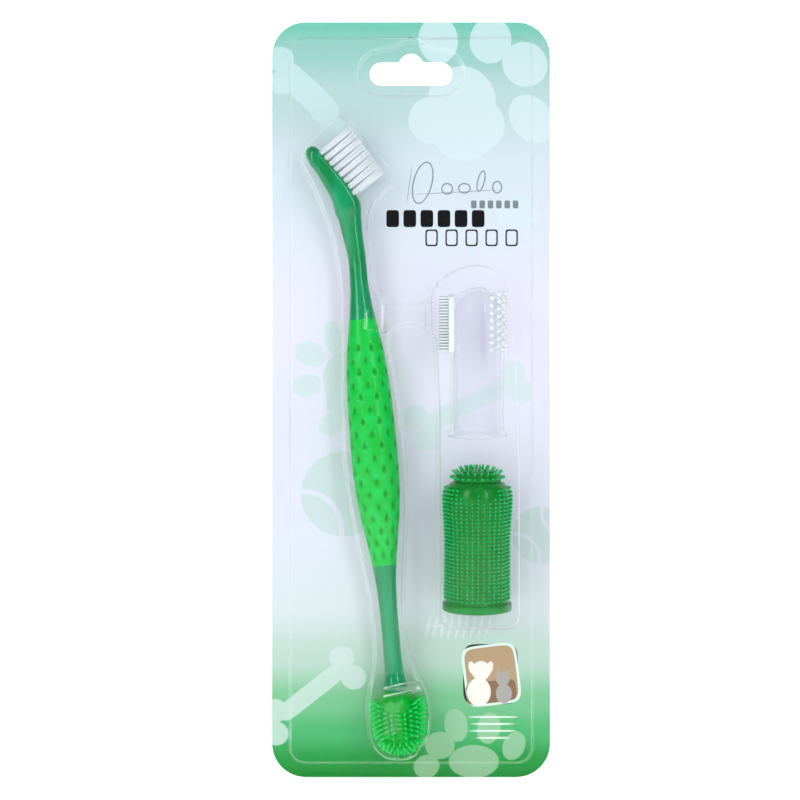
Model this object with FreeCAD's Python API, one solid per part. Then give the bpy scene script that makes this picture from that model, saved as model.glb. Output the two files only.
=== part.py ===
import FreeCAD
import Part

import math
import os

# Carded pet dental kit: a printed backing card with a hang slot, a clear
# thermoformed blister over it, and three brushes held in the blister's
# pockets: a double-headed brush, a clear finger brush and a green one.
#
# Millimetres. X runs to the right across the card, Z up, and the front faces
# -Y. The origin is where a display peg bears: the top of the hang slot, in the
# plane of the card's back face.

V = FreeCAD.Vector

# ---- driving dimensions ----------------------------------------------------

CARD_WIDTH = 100.0
CARD_HEIGHT = 271.5
CARD_THICK = 0.5
CARD_CORNER = 12.0
CARD_TOP = 11.3  # card above the peg's bearing point

SLOT_WIDTH = 29.8
SLOT_TOP = -3.1
SLOT_BOTTOM = -11.5
SLOT_HUMP_RADIUS = 4.4
SLOT_SHOULDER = 1.2
SLOT_LAND = 2.9  # flat rim of the blister left round the slot

SHEET = 0.4  # thickness of the formed sheet
SHEET_INSET = 0.3  # sheet edge inside the card edge
DRAFT = 5.0  # degrees, on every formed wall
FLANGE_SIDE = 5.5
FLANGE_TOP = 4.8
FLANGE_BOTTOM = 6.0
PLATEAU_CORNER = 6.5
PLATEAU_HEIGHT = 4.4

REST_GAP = 0.3  # brushes to the card's face

# the double-headed brush lies with its shaft in one plane in front of the card
SHAFT_TOP_X, SHAFT_TOP_Z = -19.3, -74.0
SHAFT_TILT = 5.14  # degrees off vertical, top to the left
SCRUB_RADIUS = 9.9  # over the tips of the rubber bristles
BRUSH_Y = -(CARD_THICK + REST_GAP + SCRUB_RADIUS)

HEAD_TIP_X, HEAD_TIP_Z = -36.6, -35.0
HEAD_SLOPE = 50.5  # degrees below the horizontal
GRIP_START, GRIP_END = 22.1, 109.6  # along the shaft, downwards
CORE_OVERLAP = 3.0  # the stick inside the grip runs on into the handle
SECTION_POINTS = 20  # round each section of the handle
SHAFT_LENGTH = 154.4
COLLAR_RADIUS = 4.15
SPIGOT_RADIUS, SPIGOT_LENGTH = 2.8, 13.0

TUFT_ROWS, TUFT_COLUMNS = 8, 4
TUFT_FIRST, TUFT_PITCH, TUFT_ACROSS = 4.7, 2.6, 2.15
TUFT_HOLE, TUFT_RADIUS = 0.86, 0.84
TUFT_DEPTH = 3.4
TUFT_LONG, TUFT_SHORT = 12.6, 11.2  # free length at the tip and at the neck
ANCHOR = (1.5, 0.25, 1.2)  # width, thickness, height of a staple

SCRUB_LENGTH = 22.4
SCRUB_BODY = 8.5  # half way up the rubber bristles
SCRUB_SHOULDER_AT, SCRUB_DOME_AT = 3.8, 15.5  # down from the collar
SCRUB_TAPER = 0.9  # how much narrower the cap is at its dome

FINGER_TILT = 5.0  # degrees, tips towards the front
GREEN_X, GREEN_Z = 23.3, -198.7
GREEN_HEIGHT = 50.3
GREEN_RIM, GREEN_RIM_HEIGHT = 12.3, 2.8
GREEN_WAIST, GREEN_SHOULDER = 10.7, 11.6
GREEN_WAIST_TOP, GREEN_SHOULDER_FOOT, GREEN_DOME_FOOT = 29.0, 37.0, 41.0
GREEN_CAVITY, GREEN_CAVITY_DOME = 8.4, 38.0
GREEN_CROWN_WALL = 3.0

CLEAR_X, CLEAR_Z = 23.4, -137.6
CLEAR_HEIGHT = 53.4
CLEAR_RIM, CLEAR_RIM_HEIGHT = 10.7, 2.6
CLEAR_RADIUS = 9.8
CLEAR_DOME_FOOT = 44.0
CLEAR_CAVITY = 8.3
CLEAR_CROWN_WALL = 1.6
PAD_LOW, PAD_HIGH, PAD_OUT, PAD_WIDE = 30.0, 50.4, 13.9, 9.0
PAD_ROOT = 3.0  # the pad's box stops this far from the axis
RIM_STEP = 0.8  # height of the slope from a rim in to the tube

# how far each pocket of the blister stands in front of the card's back face
HANDLE_POCKET = 19.6
HEAD_POCKET = 18.0
SCRUB_POCKET = 22.6
BRIDGE_POCKET = 11.0
CLEAR_POCKET = 27.5
PAD_POCKET = CLEAR_POCKET - 3.0
GREEN_POCKET = 31.0

# each box-shaped pocket's outline: left, bottom, right, top, corner radius
BRIDGE_BOX = (-14.0, -98.6, 10.0, -89.6, 2.4)
PAD_BOX = (5.0, -112.5, 20.0, -80.5, 3.5)
CLEAR_BOX = (8.2, -150.0, 38.8, -75.0, 12.0)
GREEN_BOX = (8.0, -205.5, 39.0, -139.8, 9.0)
SCRUB_SIDE, SCRUB_BELOW, SCRUB_ABOVE, SCRUB_CORNER = 2.9, 16.2, 14.4, 9.0
POCKET_CLEAR = 2.6  # from the shaft and the grip to their pocket's wall
LEAST_CORNER = 0.6  # of a pocket's front face
THROUGH = 9.0  # cuts run this far in front of the card and 2 mm behind it

CARD_BOTTOM = CARD_TOP - CARD_HEIGHT
CARD_FACE = -CARD_THICK
SHEET_FACE = CARD_FACE - SHEET


# ---- helpers ---------------------------------------------------------------


def rounded_wire(x0, z0, x1, z1, radius, y):
    """A rectangle with round corners, in the plane of the card, at depth y."""
    edges = []
    corners = [
        (x1 - radius, z1 - radius, 0),
        (x0 + radius, z1 - radius, 90),
        (x0 + radius, z0 + radius, 180),
        (x1 - radius, z0 + radius, 270),
    ]
    ends = []
    for cx, cz, start in corners:
        arc_points = []
        for turn in (0, 45, 90):
            a = math.radians(start + turn)
            arc_points.append(
                V(cx + radius * math.cos(a), y, cz + radius * math.sin(a))
            )
        ends.append(arc_points)
    for i, arc_points in enumerate(ends):
        edges.append(Part.Arc(*arc_points).toShape())
        following = ends[(i + 1) % 4][0]
        if arc_points[2].distanceToPoint(following) > 1e-6:
            edges.append(Part.makeLine(arc_points[2], following))
    return Part.Wire(edges)


def polygon_wire(points, y):
    corners = [V(x, y, z) for x, z in points]
    return Part.makePolygon(corners + corners[:1])


def prism(wire, depth):
    """The wire's area pushed along Y by depth."""
    return Part.Face(wire).extrude(V(0, depth, 0))


def formed_box(x0, z0, x1, z1, radius, stands, shrink=0.0):
    """A drafted, round-cornered pocket from the card's face out to y = -stands,
    smaller by shrink all over."""
    depth = stands - CARD_THICK - shrink
    lean = depth * math.tan(math.radians(DRAFT))
    low = rounded_wire(
        x0 + shrink, z0 + shrink, x1 - shrink, z1 - shrink, radius - shrink, CARD_FACE
    )
    inset = shrink + lean
    high = rounded_wire(
        x0 + inset,
        z0 + inset,
        x1 - inset,
        z1 - inset,
        max(radius - inset, LEAST_CORNER),
        CARD_FACE - depth,
    )
    return Part.makeLoft([low, high], True, True)


def formed_polygon(points, stands, shrink=0.0):
    """The same for a convex outline given by its corners."""
    depth = stands - CARD_THICK - shrink
    lean = depth * math.tan(math.radians(DRAFT))
    outline = polygon_wire(points, CARD_FACE)
    low = outline.makeOffset2D(-shrink, 2) if shrink else outline
    high = outline.makeOffset2D(-(shrink + lean), 2)
    high.translate(V(0, -depth, 0))
    return Part.makeLoft([low, high], True, True)


def slot_solid(grow, y0, y1):
    """The hang slot, grown outwards, between two depths."""
    half = SLOT_WIDTH / 2 + grow
    end = (SLOT_TOP - SLOT_BOTTOM) / 2 + grow
    bar = prism(
        rounded_wire(-half, SLOT_BOTTOM - grow, half, SLOT_TOP + grow, end, y0), y1 - y0
    )
    radius = SLOT_HUMP_RADIUS + grow
    hump = Part.makeCylinder(
        radius, y1 - y0, V(0, y0, -SLOT_HUMP_RADIUS), V(0, 1, 0)
    )
    both = bar.fuse(hump).removeSplitter()
    meet = SLOT_TOP + grow
    shoulders = [
        e
        for e in both.Edges
        if abs(e.BoundBox.ZMin - meet) < 0.01
        and e.BoundBox.XLength < 0.01
        and e.BoundBox.ZLength < 0.01
        and abs(e.CenterOfMass.x) < radius
    ]
    return both.makeFillet(SLOT_SHOULDER, shoulders)


def along_shaft(t, side=0.0, y=BRUSH_Y):
    """A point t down the shaft's axis and side to its right."""
    tilt = math.radians(SHAFT_TILT)
    x = SHAFT_TOP_X + t * math.sin(tilt) + side * math.cos(tilt)
    z = SHAFT_TOP_Z - t * math.cos(tilt) + side * math.sin(tilt)
    return V(x, y, z)


def along_head(u, v=0.0, y=BRUSH_Y):
    """A point u along the head from its tip and v towards the bristles."""
    slope = math.radians(HEAD_SLOPE)
    x = HEAD_TIP_X + u * math.cos(slope) + v * math.sin(slope)
    z = HEAD_TIP_Z - u * math.sin(slope) + v * math.cos(slope)
    return V(x, y, z)


def section(centre, slope, half_wide, half_deep, power):
    """A closed superellipse across a limb that runs down at slope degrees:
    half_wide lies in the plane of the card and half_deep along Y."""
    a = math.radians(slope)
    across = V(math.sin(a), 0, math.cos(a))
    points = []
    for i in range(SECTION_POINTS):
        turn = 2 * math.pi * i / SECTION_POINTS
        c, s = math.cos(turn), math.sin(turn)
        w = half_wide * math.copysign(abs(c) ** (2 / power), c)
        d = half_deep * math.copysign(abs(s) ** (2 / power), s)
        points.append(centre + across * w + V(0, d, 0))
    curve = Part.BSplineCurve()
    curve.interpolate(points, PeriodicFlag=True)
    return Part.Wire([curve.toShape()])


def dome_edge(radius, foot, top):
    """A quarter ellipse from a wall of that radius in to the axis."""
    points = []
    for turn in (0, 22.5, 45, 67.5, 90):
        a = math.radians(turn)
        points.append(V(radius * math.cos(a), 0, foot + (top - foot) * math.sin(a)))
    curve = Part.BSplineCurve()
    rise = V(0, 0, math.copysign(1.0, top - foot))
    curve.interpolate(points, InitialTangent=rise, FinalTangent=V(-1, 0, 0))
    return curve.toShape()


# ---- card and blister ------------------------------------------------------


def backing_card():
    half = CARD_WIDTH / 2
    outline = rounded_wire(-half, CARD_BOTTOM, half, CARD_TOP, CARD_CORNER, CARD_FACE)
    return prism(outline, CARD_THICK).cut(slot_solid(0.0, -THROUGH, 2.0))


def shaft_pocket_outline():
    """Corners of the pocket over the brush's shaft and grip."""
    # along the shaft, and the half width that the brush needs there
    stations = [(-23.5, 5.6), (14.0, 5.0), (40.0, 7.6), (58.0, 8.3)]
    stations += [(82.0, 8.3), (96.0, 7.0), (118.0, 4.4), (158.0, 4.4)]
    right = [along_shaft(t, w + POCKET_CLEAR) for t, w in stations]
    left = [along_shaft(t, -(w + POCKET_CLEAR)) for t, w in reversed(stations)]
    return [(p.x, p.z) for p in right + left]


def hull(points):
    """The convex outline round some points, because a pocket is convex."""
    ordered = sorted(points)

    def chain(run):
        kept = []
        for p in run:
            while len(kept) > 1:
                ax, az = kept[-1][0] - kept[-2][0], kept[-1][1] - kept[-2][1]
                bx, bz = p[0] - kept[-2][0], p[1] - kept[-2][1]
                if ax * bz - az * bx > 0:
                    break
                kept.pop()
            kept.append(p)
        return kept[:-1]

    return chain(ordered) + chain(ordered[::-1])


def head_pocket_outline():
    """A box round the bristle head, in line with it."""
    ends = [(-2.8, -5.6), (-2.8, 19.2), (31.0, 19.2), (31.0, -9.0)]
    corners = [along_head(u, v) for u, v in ends]
    return [(p.x, p.z) for p in corners]


def pockets(shrink):
    """Every raised part of the blister, smaller by shrink all over."""
    half = CARD_WIDTH / 2 - FLANGE_SIDE
    low, high = CARD_BOTTOM + FLANGE_BOTTOM, CARD_TOP - FLANGE_TOP
    plateau = formed_box(-half, low, half, high, PLATEAU_CORNER, PLATEAU_HEIGHT, shrink)
    plateau = plateau.cut(slot_solid(SLOT_LAND + shrink, -THROUGH, CARD_FACE + 1.0))
    scrub = along_shaft(SHAFT_LENGTH + SCRUB_LENGTH / 2)
    wide = SCRUB_RADIUS + SCRUB_SIDE
    scrub_box = (
        scrub.x - wide,
        scrub.z - SCRUB_BELOW,
        scrub.x + wide,
        scrub.z + SCRUB_ABOVE,
        SCRUB_CORNER,
    )
    raised = [
        formed_polygon(hull(shaft_pocket_outline()), HANDLE_POCKET, shrink),
        formed_polygon(hull(head_pocket_outline()), HEAD_POCKET, shrink),
        formed_box(*scrub_box, SCRUB_POCKET, shrink),
        formed_box(*BRIDGE_BOX, BRIDGE_POCKET, shrink),
        formed_box(*PAD_BOX, PAD_POCKET, shrink),
        formed_box(*CLEAR_BOX, CLEAR_POCKET, shrink),
        formed_box(*GREEN_BOX, GREEN_POCKET, shrink),
    ]
    return plateau.multiFuse(raised)


def blister_shell():
    half = CARD_WIDTH / 2 - SHEET_INSET
    flange = rounded_wire(
        -half,
        CARD_BOTTOM + SHEET_INSET,
        half,
        CARD_TOP - SHEET_INSET,
        CARD_CORNER - SHEET_INSET,
        SHEET_FACE,
    )
    outside = prism(flange, SHEET).fuse(pockets(0.0))
    shell = outside.cut(pockets(SHEET))
    return shell.cut(slot_solid(0.0, -THROUGH, 2.0)).removeSplitter()


# ---- the double-headed brush -----------------------------------------------


def handle_outside():
    """Head, elbow, neck, grip swell and lower neck as one loft."""
    head = [
        (0.15, 0.0, 0.9, 1.5, 2.2),
        (0.8, 0.0, 1.8, 2.9, 2.4),
        (2.2, -0.1, 2.6, 4.0, 2.8),
        (4.2, -0.3, 2.9, 4.6, 3.2),
        (9.5, -0.5, 3.1, 4.8, 3.6),
        (14.5, -0.8, 3.6, 4.8, 3.6),
        (19.5, -1.2, 4.1, 4.8, 3.4),
    ]
    # centre as a point beside the shaft's axis, slope, half width, half depth
    elbow = [
        (-17.5, -1.5, 62.0, 4.95, 4.6, 3.0),
        (-14.5, -1.2, 75.0, 4.2, 4.2, 2.7),
        (-8.6, -0.8, 83.0, 3.65, 3.7, 2.3),
    ]
    shaft = [
        (0.0, 3.2, 3.2),
        (9.0, 3.25, 3.2),
        (15.0, 3.75, 3.5),
        (22.0, 4.7, 4.2),
        (35.0, 6.8, 5.7),
        (48.0, 7.8, 6.5),
        (66.0, 8.3, 6.8),
        (80.0, 8.1, 6.6),
        (92.0, 7.0, 5.8),
        (104.0, 5.1, 4.5),
        (114.0, 3.8, 3.6),
        (126.0, 3.2, 3.2),
        (142.0, 3.15, 3.15),
        (148.5, 3.5, 3.5),
        (152.6, COLLAR_RADIUS, COLLAR_RADIUS),
        (SHAFT_LENGTH, COLLAR_RADIUS, COLLAR_RADIUS),
    ]
    sections = [
        section(along_head(u, v), HEAD_SLOPE, a, b, n) for u, v, a, b, n in head
    ]
    sections += [
        section(along_shaft(t, side), slope, a, b, n)
        for t, side, slope, a, b, n in elbow
    ]
    sections += [
        section(along_shaft(t), 90 - SHAFT_TILT, a, b, 2.0) for t, a, b in shaft
    ]
    return Part.makeLoft(sections, True, False)


def shaft_slab(start, end, reach=30.0):
    """All space between two stations of the shaft."""
    box = Part.makeBox(2 * reach, 2 * reach, end - start, V(-reach, -reach, -end))
    box.rotate(V(0, 0, 0), V(0, 1, 0), -SHAFT_TILT)
    box.translate(along_shaft(0.0))
    return box


def grip_core():
    """The rigid stick inside the soft grip."""
    stations = [
        (GRIP_START - CORE_OVERLAP, 3.2, 2.9),
        (40.0, 4.4, 3.6),
        (66.0, 5.0, 4.2),
        (92.0, 4.3, 3.6),
        (GRIP_END + CORE_OVERLAP, 2.8, 2.7),
    ]
    return Part.makeLoft(
        [section(along_shaft(t), 90 - SHAFT_TILT, a, b, 2.0) for t, a, b in stations],
        True,
        False,
    )


def tuft_places():
    """Foot and free length of each tuft, row by row."""
    half_face = 2.9
    for row in range(TUFT_ROWS):
        share = row / (TUFT_ROWS - 1)
        free = TUFT_LONG + (TUFT_SHORT - TUFT_LONG) * share
        u = TUFT_FIRST + TUFT_PITCH * row
        for column in range(TUFT_COLUMNS):
            y = BRUSH_Y + TUFT_ACROSS * (column - (TUFT_COLUMNS - 1) / 2)
            yield along_head(u, half_face - TUFT_DEPTH, y), free


def bristle_way():
    return along_head(0, 1) - along_head(0, 0)


def tuft_holes():
    way = bristle_way()
    return [Part.makeCylinder(TUFT_HOLE, 20.0, foot, way) for foot, _ in tuft_places()]


def tufts():
    way = bristle_way()
    lift = ANCHOR[2] + 0.05
    return [
        Part.makeCylinder(TUFT_RADIUS, TUFT_DEPTH + free - lift, foot + way * lift, way)
        for foot, free in tuft_places()
    ]


def anchors():
    wide, thick, high = ANCHOR
    made = []
    for foot, _ in tuft_places():
        staple = Part.makeBox(thick, wide, high, V(-thick / 2, -wide / 2, 0.02))
        staple.rotate(V(0, 0, 0), V(0, 1, 0), HEAD_SLOPE)
        staple.translate(foot)
        made.append(staple)
    return made


def down_the_shaft(shape, t):
    """Turns a shape made along -Z from the origin into the shaft's line."""
    shape.rotate(V(0, 0, 0), V(0, 1, 0), -SHAFT_TILT)
    shape.translate(along_shaft(t))
    return shape


def spigot(radius, length):
    stub = Part.makeCylinder(radius, length, V(0, 0, 0), V(0, 0, -1))
    return down_the_shaft(stub, SHAFT_LENGTH)


def handle_core(outside, grip_space, inside):
    core = outside.cut(grip_space).fuse(inside)
    core = core.fuse(spigot(SPIGOT_RADIUS, SPIGOT_LENGTH))
    return core.cut(Part.makeCompound(tuft_holes()))


def scrubber_head():
    """The rubber cap with its socket, as a turned solid."""
    collar = V(COLLAR_RADIUS + 0.3, 0, 0)
    shoulder = V(SCRUB_BODY, 0, -SCRUB_SHOULDER_AT)
    bulge = V(SCRUB_BODY - 1.1, 0, -1.3)
    taper = (SCRUB_BODY - SCRUB_TAPER, -SCRUB_DOME_AT)
    foot = V(taper[0], 0, taper[1])
    edges = [
        Part.makeLine(V(0, 0, 0), collar),
        Part.Arc(collar, bulge, shoulder).toShape(),
        Part.makeLine(shoulder, foot),
        dome_edge(*taper, -SCRUB_LENGTH),
        Part.makeLine(V(0, 0, -SCRUB_LENGTH), V(0, 0, 0)),
    ]
    cap = Part.Face(Part.Wire(edges)).revolve(V(0, 0, 0), V(0, 0, 1), 360)
    cap = down_the_shaft(cap, SHAFT_LENGTH)
    return cap.cut(spigot(SPIGOT_RADIUS, SPIGOT_LENGTH))


# ---- the finger brushes ----------------------------------------------------


def lean_forward(shape, x, z, rim):
    """Sets a finger brush, made upright on the origin, in its pocket: rim
    near the card, tip leaning to the front."""
    y = -(CARD_THICK + REST_GAP + rim)
    shape.rotate(V(0, 0, 0), V(1, 0, 0), FINGER_TILT)
    shape.translate(V(x, y, z))
    return shape


def turned(points, top):
    """Revolves radius and height pairs that start on the axis and end at the
    foot of a dome, which rises to the axis at height top."""
    corners = [V(r, 0, z) for r, z in points]
    edges = [Part.makeLine(a, b) for a, b in zip(corners, corners[1:])]
    edges.append(dome_edge(*points[-1], top))
    edges.append(Part.makeLine(V(0, 0, top), corners[0]))
    return Part.Face(Part.Wire(edges)).revolve(V(0, 0, 0), V(0, 0, 1), 360)


def green_finger_brush():
    outer = [
        (0.0, 0.0),
        (GREEN_RIM, 0.0),
        (GREEN_RIM, GREEN_RIM_HEIGHT),
        (GREEN_WAIST, GREEN_RIM_HEIGHT + RIM_STEP),
        (GREEN_WAIST, GREEN_WAIST_TOP),
        (GREEN_SHOULDER, GREEN_SHOULDER_FOOT),
        (GREEN_SHOULDER, GREEN_DOME_FOOT),
    ]
    body = turned(outer, GREEN_HEIGHT)
    bore = [
        (0.0, -1.0),
        (GREEN_CAVITY, -1.0),
        (GREEN_CAVITY - 0.2, GREEN_CAVITY_DOME),
    ]
    cavity = turned(bore, GREEN_HEIGHT - GREEN_CROWN_WALL)
    return lean_forward(body.cut(cavity), GREEN_X, GREEN_Z, GREEN_RIM)


def clear_finger_brush():
    outer = [
        (0.0, 0.0),
        (CLEAR_RIM, 0.0),
        (CLEAR_RIM, CLEAR_RIM_HEIGHT),
        (CLEAR_RADIUS - 0.3, CLEAR_RIM_HEIGHT + RIM_STEP),
        (CLEAR_RADIUS, CLEAR_DOME_FOOT),
    ]
    body = turned(outer, CLEAR_HEIGHT)
    pad = Part.makeBox(
        PAD_OUT - PAD_ROOT,
        PAD_WIDE,
        PAD_HIGH - PAD_LOW,
        V(-PAD_OUT, -PAD_WIDE / 2, PAD_LOW),
    )
    bore = [(0.0, -1.0), (CLEAR_CAVITY, -1.0), (CLEAR_CAVITY, CLEAR_DOME_FOOT)]
    cavity = turned(bore, CLEAR_HEIGHT - CLEAR_CROWN_WALL)
    return lean_forward(body.fuse(pad).cut(cavity), CLEAR_X, CLEAR_Z, CLEAR_RIM)


# ---- write one STEP for each piece -----------------------------------------


def export(name, shape):
    solids = shape.Solids
    whole = solids[0] if len(solids) == 1 else Part.makeCompound(solids)
    whole.exportStep(f"parts/{name}.step")
    box = whole.BoundBox
    print(
        f"{name}: {len(solids)} solid(s), valid {whole.isValid()}, "
        f"volume {whole.Volume:.1f} mm3, "
        f"{box.XLength:.1f} x {box.YLength:.1f} x {box.ZLength:.1f} mm"
    )


def main():
    os.makedirs("parts", exist_ok=True)
    outside = handle_outside()
    inside = grip_core()
    grip_space = shaft_slab(GRIP_START, GRIP_END)
    export("backing_card", backing_card())
    export("blister_shell", blister_shell())
    export("handle_core", handle_core(outside, grip_space, inside))
    export("soft_grip", outside.common(grip_space).cut(inside))
    export("bristle_tufts", Part.makeCompound(tufts()))
    export("tuft_anchors", Part.makeCompound(anchors()))
    export("scrubber_head", scrubber_head())
    export("clear_finger_brush", clear_finger_brush())
    export("green_finger_brush", green_finger_brush())


main()
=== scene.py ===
# %% [markdown]
# # A carded pack of pet dental brushes
# The object is one shop pack: a printed board card, a clear formed blister
# over it, and three brushes held in the blister's pockets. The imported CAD
# model gives every place and size in metres, +Z up and the front towards -Y,
# so the first thing the lesson does is load it and keep its box.

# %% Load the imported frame
import math
from random import Random

import bmesh
import bpy
from mathutils import Matrix, Vector


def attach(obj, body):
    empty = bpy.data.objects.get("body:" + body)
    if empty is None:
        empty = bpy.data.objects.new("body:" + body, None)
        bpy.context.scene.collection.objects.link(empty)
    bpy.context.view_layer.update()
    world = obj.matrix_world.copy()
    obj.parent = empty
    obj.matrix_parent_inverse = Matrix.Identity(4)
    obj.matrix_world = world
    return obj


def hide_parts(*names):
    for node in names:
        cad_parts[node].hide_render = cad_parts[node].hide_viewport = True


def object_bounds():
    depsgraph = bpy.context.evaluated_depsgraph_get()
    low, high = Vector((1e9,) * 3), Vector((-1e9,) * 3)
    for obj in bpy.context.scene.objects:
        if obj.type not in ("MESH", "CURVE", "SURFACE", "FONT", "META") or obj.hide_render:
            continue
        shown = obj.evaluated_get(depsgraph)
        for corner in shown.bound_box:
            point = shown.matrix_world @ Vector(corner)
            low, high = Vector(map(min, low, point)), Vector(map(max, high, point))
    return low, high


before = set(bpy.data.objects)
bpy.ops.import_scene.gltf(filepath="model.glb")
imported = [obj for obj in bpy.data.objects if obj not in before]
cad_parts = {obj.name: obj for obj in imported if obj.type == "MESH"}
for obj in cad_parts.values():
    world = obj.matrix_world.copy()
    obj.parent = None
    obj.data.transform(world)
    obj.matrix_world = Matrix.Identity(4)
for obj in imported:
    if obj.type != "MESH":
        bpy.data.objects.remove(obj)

MM = 0.001
cad_low, cad_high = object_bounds()
print("CAD box in mm:", [round(v / MM, 1) for v in (*cad_low, *cad_high)])

# %% [markdown]
# ## Small helpers
# Colours are written as the hex values a designer would give, and turned to
# the linear numbers that a shader needs. One function adds a shader node with
# its settings and links. Another turns a finished bmesh into a piece that
# rides on its CAD body, with its place in its mesh.

# %% Colours and shader nodes
def linear(hex_colour, alpha=1.0):
    parts = [int(hex_colour[i:i + 2], 16) / 255 for i in (1, 3, 5)]
    flat = [c / 12.92 if c <= 0.04045 else ((c + 0.055) / 1.055) ** 2.4 for c in parts]
    return (*flat, alpha)


def add(tree, kind, inputs=None, **settings):
    node = tree.nodes.new("ShaderNode" + kind)
    for name, value in settings.items():
        setattr(node, name, value)
    for socket, value in (inputs or {}).items():
        if isinstance(value, bpy.types.NodeSocket):
            tree.links.new(value, node.inputs[socket])
        else:
            node.inputs[socket].default_value = value
    return node


def new_material(name):
    made = bpy.data.materials.new(name)
    made.use_nodes = True
    made.node_tree.nodes.clear()
    return made, made.node_tree


def set_surface(tree, shader):
    output = add(tree, "OutputMaterial")
    tree.links.new(shader, output.inputs["Surface"])


print("white is", linear("#ffffff"))


# %% Pieces from bmeshes
def make_piece(bm, name, material, body, node, smooth=True):
    for face in bm.faces:
        face.smooth = smooth
    mesh = bpy.data.meshes.new(name)
    bm.to_mesh(mesh)
    bm.free()
    piece = bpy.data.objects.new(name, mesh)
    bpy.context.scene.collection.objects.link(piece)
    mesh.materials.append(material)
    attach(piece, body)
    if node:
        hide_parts(node)
    low = Vector(piece.bound_box[0]) / MM
    high = Vector(piece.bound_box[6]) / MM
    print(name, len(mesh.polygons), "faces,", [round(v, 1) for v in (*low, *high)])
    return piece


def ring_sweep(bm, sections, segments):
    """Extrudes a ring through sections; a section gives the point at an angle."""
    ring = bmesh.ops.create_circle(bm, segments=segments, radius=1.0)["verts"]
    turns = {v: math.atan2(v.co.y, v.co.x) for v in ring}
    edges = list({e for v in ring for e in v.link_edges})
    for v, turn in turns.items():
        v.co = sections[0](turn)
    loops = [edges]
    for section in sections[1:]:
        at = {tuple(v.co): turn for v, turn in turns.items()}
        grown = bmesh.ops.extrude_edge_only(bm, edges=edges)["geom"]
        fresh = [g for g in grown if isinstance(g, bmesh.types.BMVert)]
        turns = {v: at[tuple(v.co)] for v in fresh}
        edges = [
            g for g in grown
            if isinstance(g, bmesh.types.BMEdge) and all(v in turns for v in g.verts)
        ]
        for v, turn in turns.items():
            v.co = section(turn)
        loops.append(edges)
    return loops


def close_ends(bm, loops):
    bmesh.ops.edgeloop_fill(bm, edges=loops[0])
    bmesh.ops.edgeloop_fill(bm, edges=loops[-1])
    bmesh.ops.recalc_face_normals(bm, faces=bm.faces[:])


def through(stations, t):
    """A smooth value of each column of a table at t, passing through its rows."""
    last = len(stations) - 1
    i = 0
    while i < last - 1 and stations[i + 1][0] < t:
        i += 1
    p1, p2 = stations[i], stations[i + 1]
    p0, p3 = stations[max(i - 1, 0)], stations[min(i + 2, last)]
    span = p2[0] - p1[0]
    u = min(max((t - p1[0]) / span, 0.0), 1.0)
    values = []
    for a, b, c, d in zip(p0[1:], p1[1:], p2[1:], p3[1:]):
        m1 = (c - a) / (p2[0] - p0[0]) * span
        m2 = (d - b) / (p3[0] - p1[0]) * span
        values.append(
            (2 * u**3 - 3 * u**2 + 1) * b + (u**3 - 2 * u**2 + u) * m1
            + (3 * u**2 - 2 * u**3) * c + (u**3 - u**2) * m2
        )
    return values


def steps(first, last, count):
    return [first + (last - first) * i / (count - 1) for i in range(count)]


print("half way through a ramp:", through([(0, 0), (1, 1), (2, 2)], 1.5))

# %% [markdown]
# ## Floor, light and camera
# The pack is shown in a plain pale studio. The floor meets the pack's bottom
# edge and curves up behind it, so there is no horizon line. Light comes from
# all round, as in a dim tent, and from a broad soft fill in front, with a wide
# softbox on the left and a narrow bright one on the right. Both start level
# with the middle of the pack and stand far above it, so upright limbs catch
# them in the upper half and rounded shoulders in the lower half. The floor
# glows less in front of the pack, where it would be mirrored in the sheet.

# %% Stage
def stage_material():
    made, tree = new_material("painted_studio_cove")
    coords = add(tree, "TexCoord")
    grain = add(tree, "TexNoise", {"Vector": coords.outputs["Object"], "Scale": 3.0})
    tint = add(tree, "ValToRGB", {"Fac": grain.outputs["Fac"]})
    tint.color_ramp.elements[0].color = linear("#f6f7f9")
    tint.color_ramp.elements[1].color = linear("#fbfbfd")
    split = add(tree, "SeparateXYZ", {0: coords.outputs["Object"]})
    glow = add(tree, "MapRange", {
        "Value": split.outputs["Y"], "From Min": -0.9, "From Max": -0.1, "To Min": 0.4,
        "To Max": 0.62,
    })
    paint = add(tree, "BsdfPrincipled", {
        "Base Color": tint.outputs["Color"], "Roughness": 0.9,
        "Emission Color": linear("#ffffff"), "Emission Strength": glow.outputs[0],
    })
    set_surface(tree, paint.outputs[0])
    return made


def make_cove():
    bm = bmesh.new()
    base = bmesh.ops.create_grid(bm, x_segments=1, y_segments=1, size=1.0)["verts"]
    bmesh.ops.scale(bm, vec=(4.0, 3.0, 1.0), verts=base)
    bmesh.ops.translate(bm, vec=(0.0, -2.4, cad_low.z), verts=base)
    edge = [e for e in bm.edges if all(v.co.y > 0 for v in e.verts)]
    bmesh.ops.spin(
        bm, geom=edge, axis=(1, 0, 0), cent=(0, 0.6, cad_low.z + 0.5),
        angle=math.radians(90), steps=16,
    )
    top = [e for e in bm.edges if all(v.co.y > 1.0 for v in e.verts) and e.is_boundary]
    top = [e for e in top if abs(e.verts[0].co.z - e.verts[1].co.z) < 1e-6]
    grown = bmesh.ops.extrude_edge_only(bm, edges=top)["geom"]
    risen = [g for g in grown if isinstance(g, bmesh.types.BMVert)]
    bmesh.ops.translate(bm, vec=(0, 0, 2.2), verts=risen)
    for face in bm.faces:
        face.smooth = True
    mesh = bpy.data.meshes.new("studio_cove")
    bm.to_mesh(mesh)
    bm.free()
    mesh.materials.append(stage_material())
    cove = bpy.data.objects.new("studio_cove", mesh)
    bpy.context.scene.collection.objects.link(cove)
    print("cove depth:", round(max(v.co.y for v in mesh.vertices), 2), "m")


make_cove()


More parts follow.
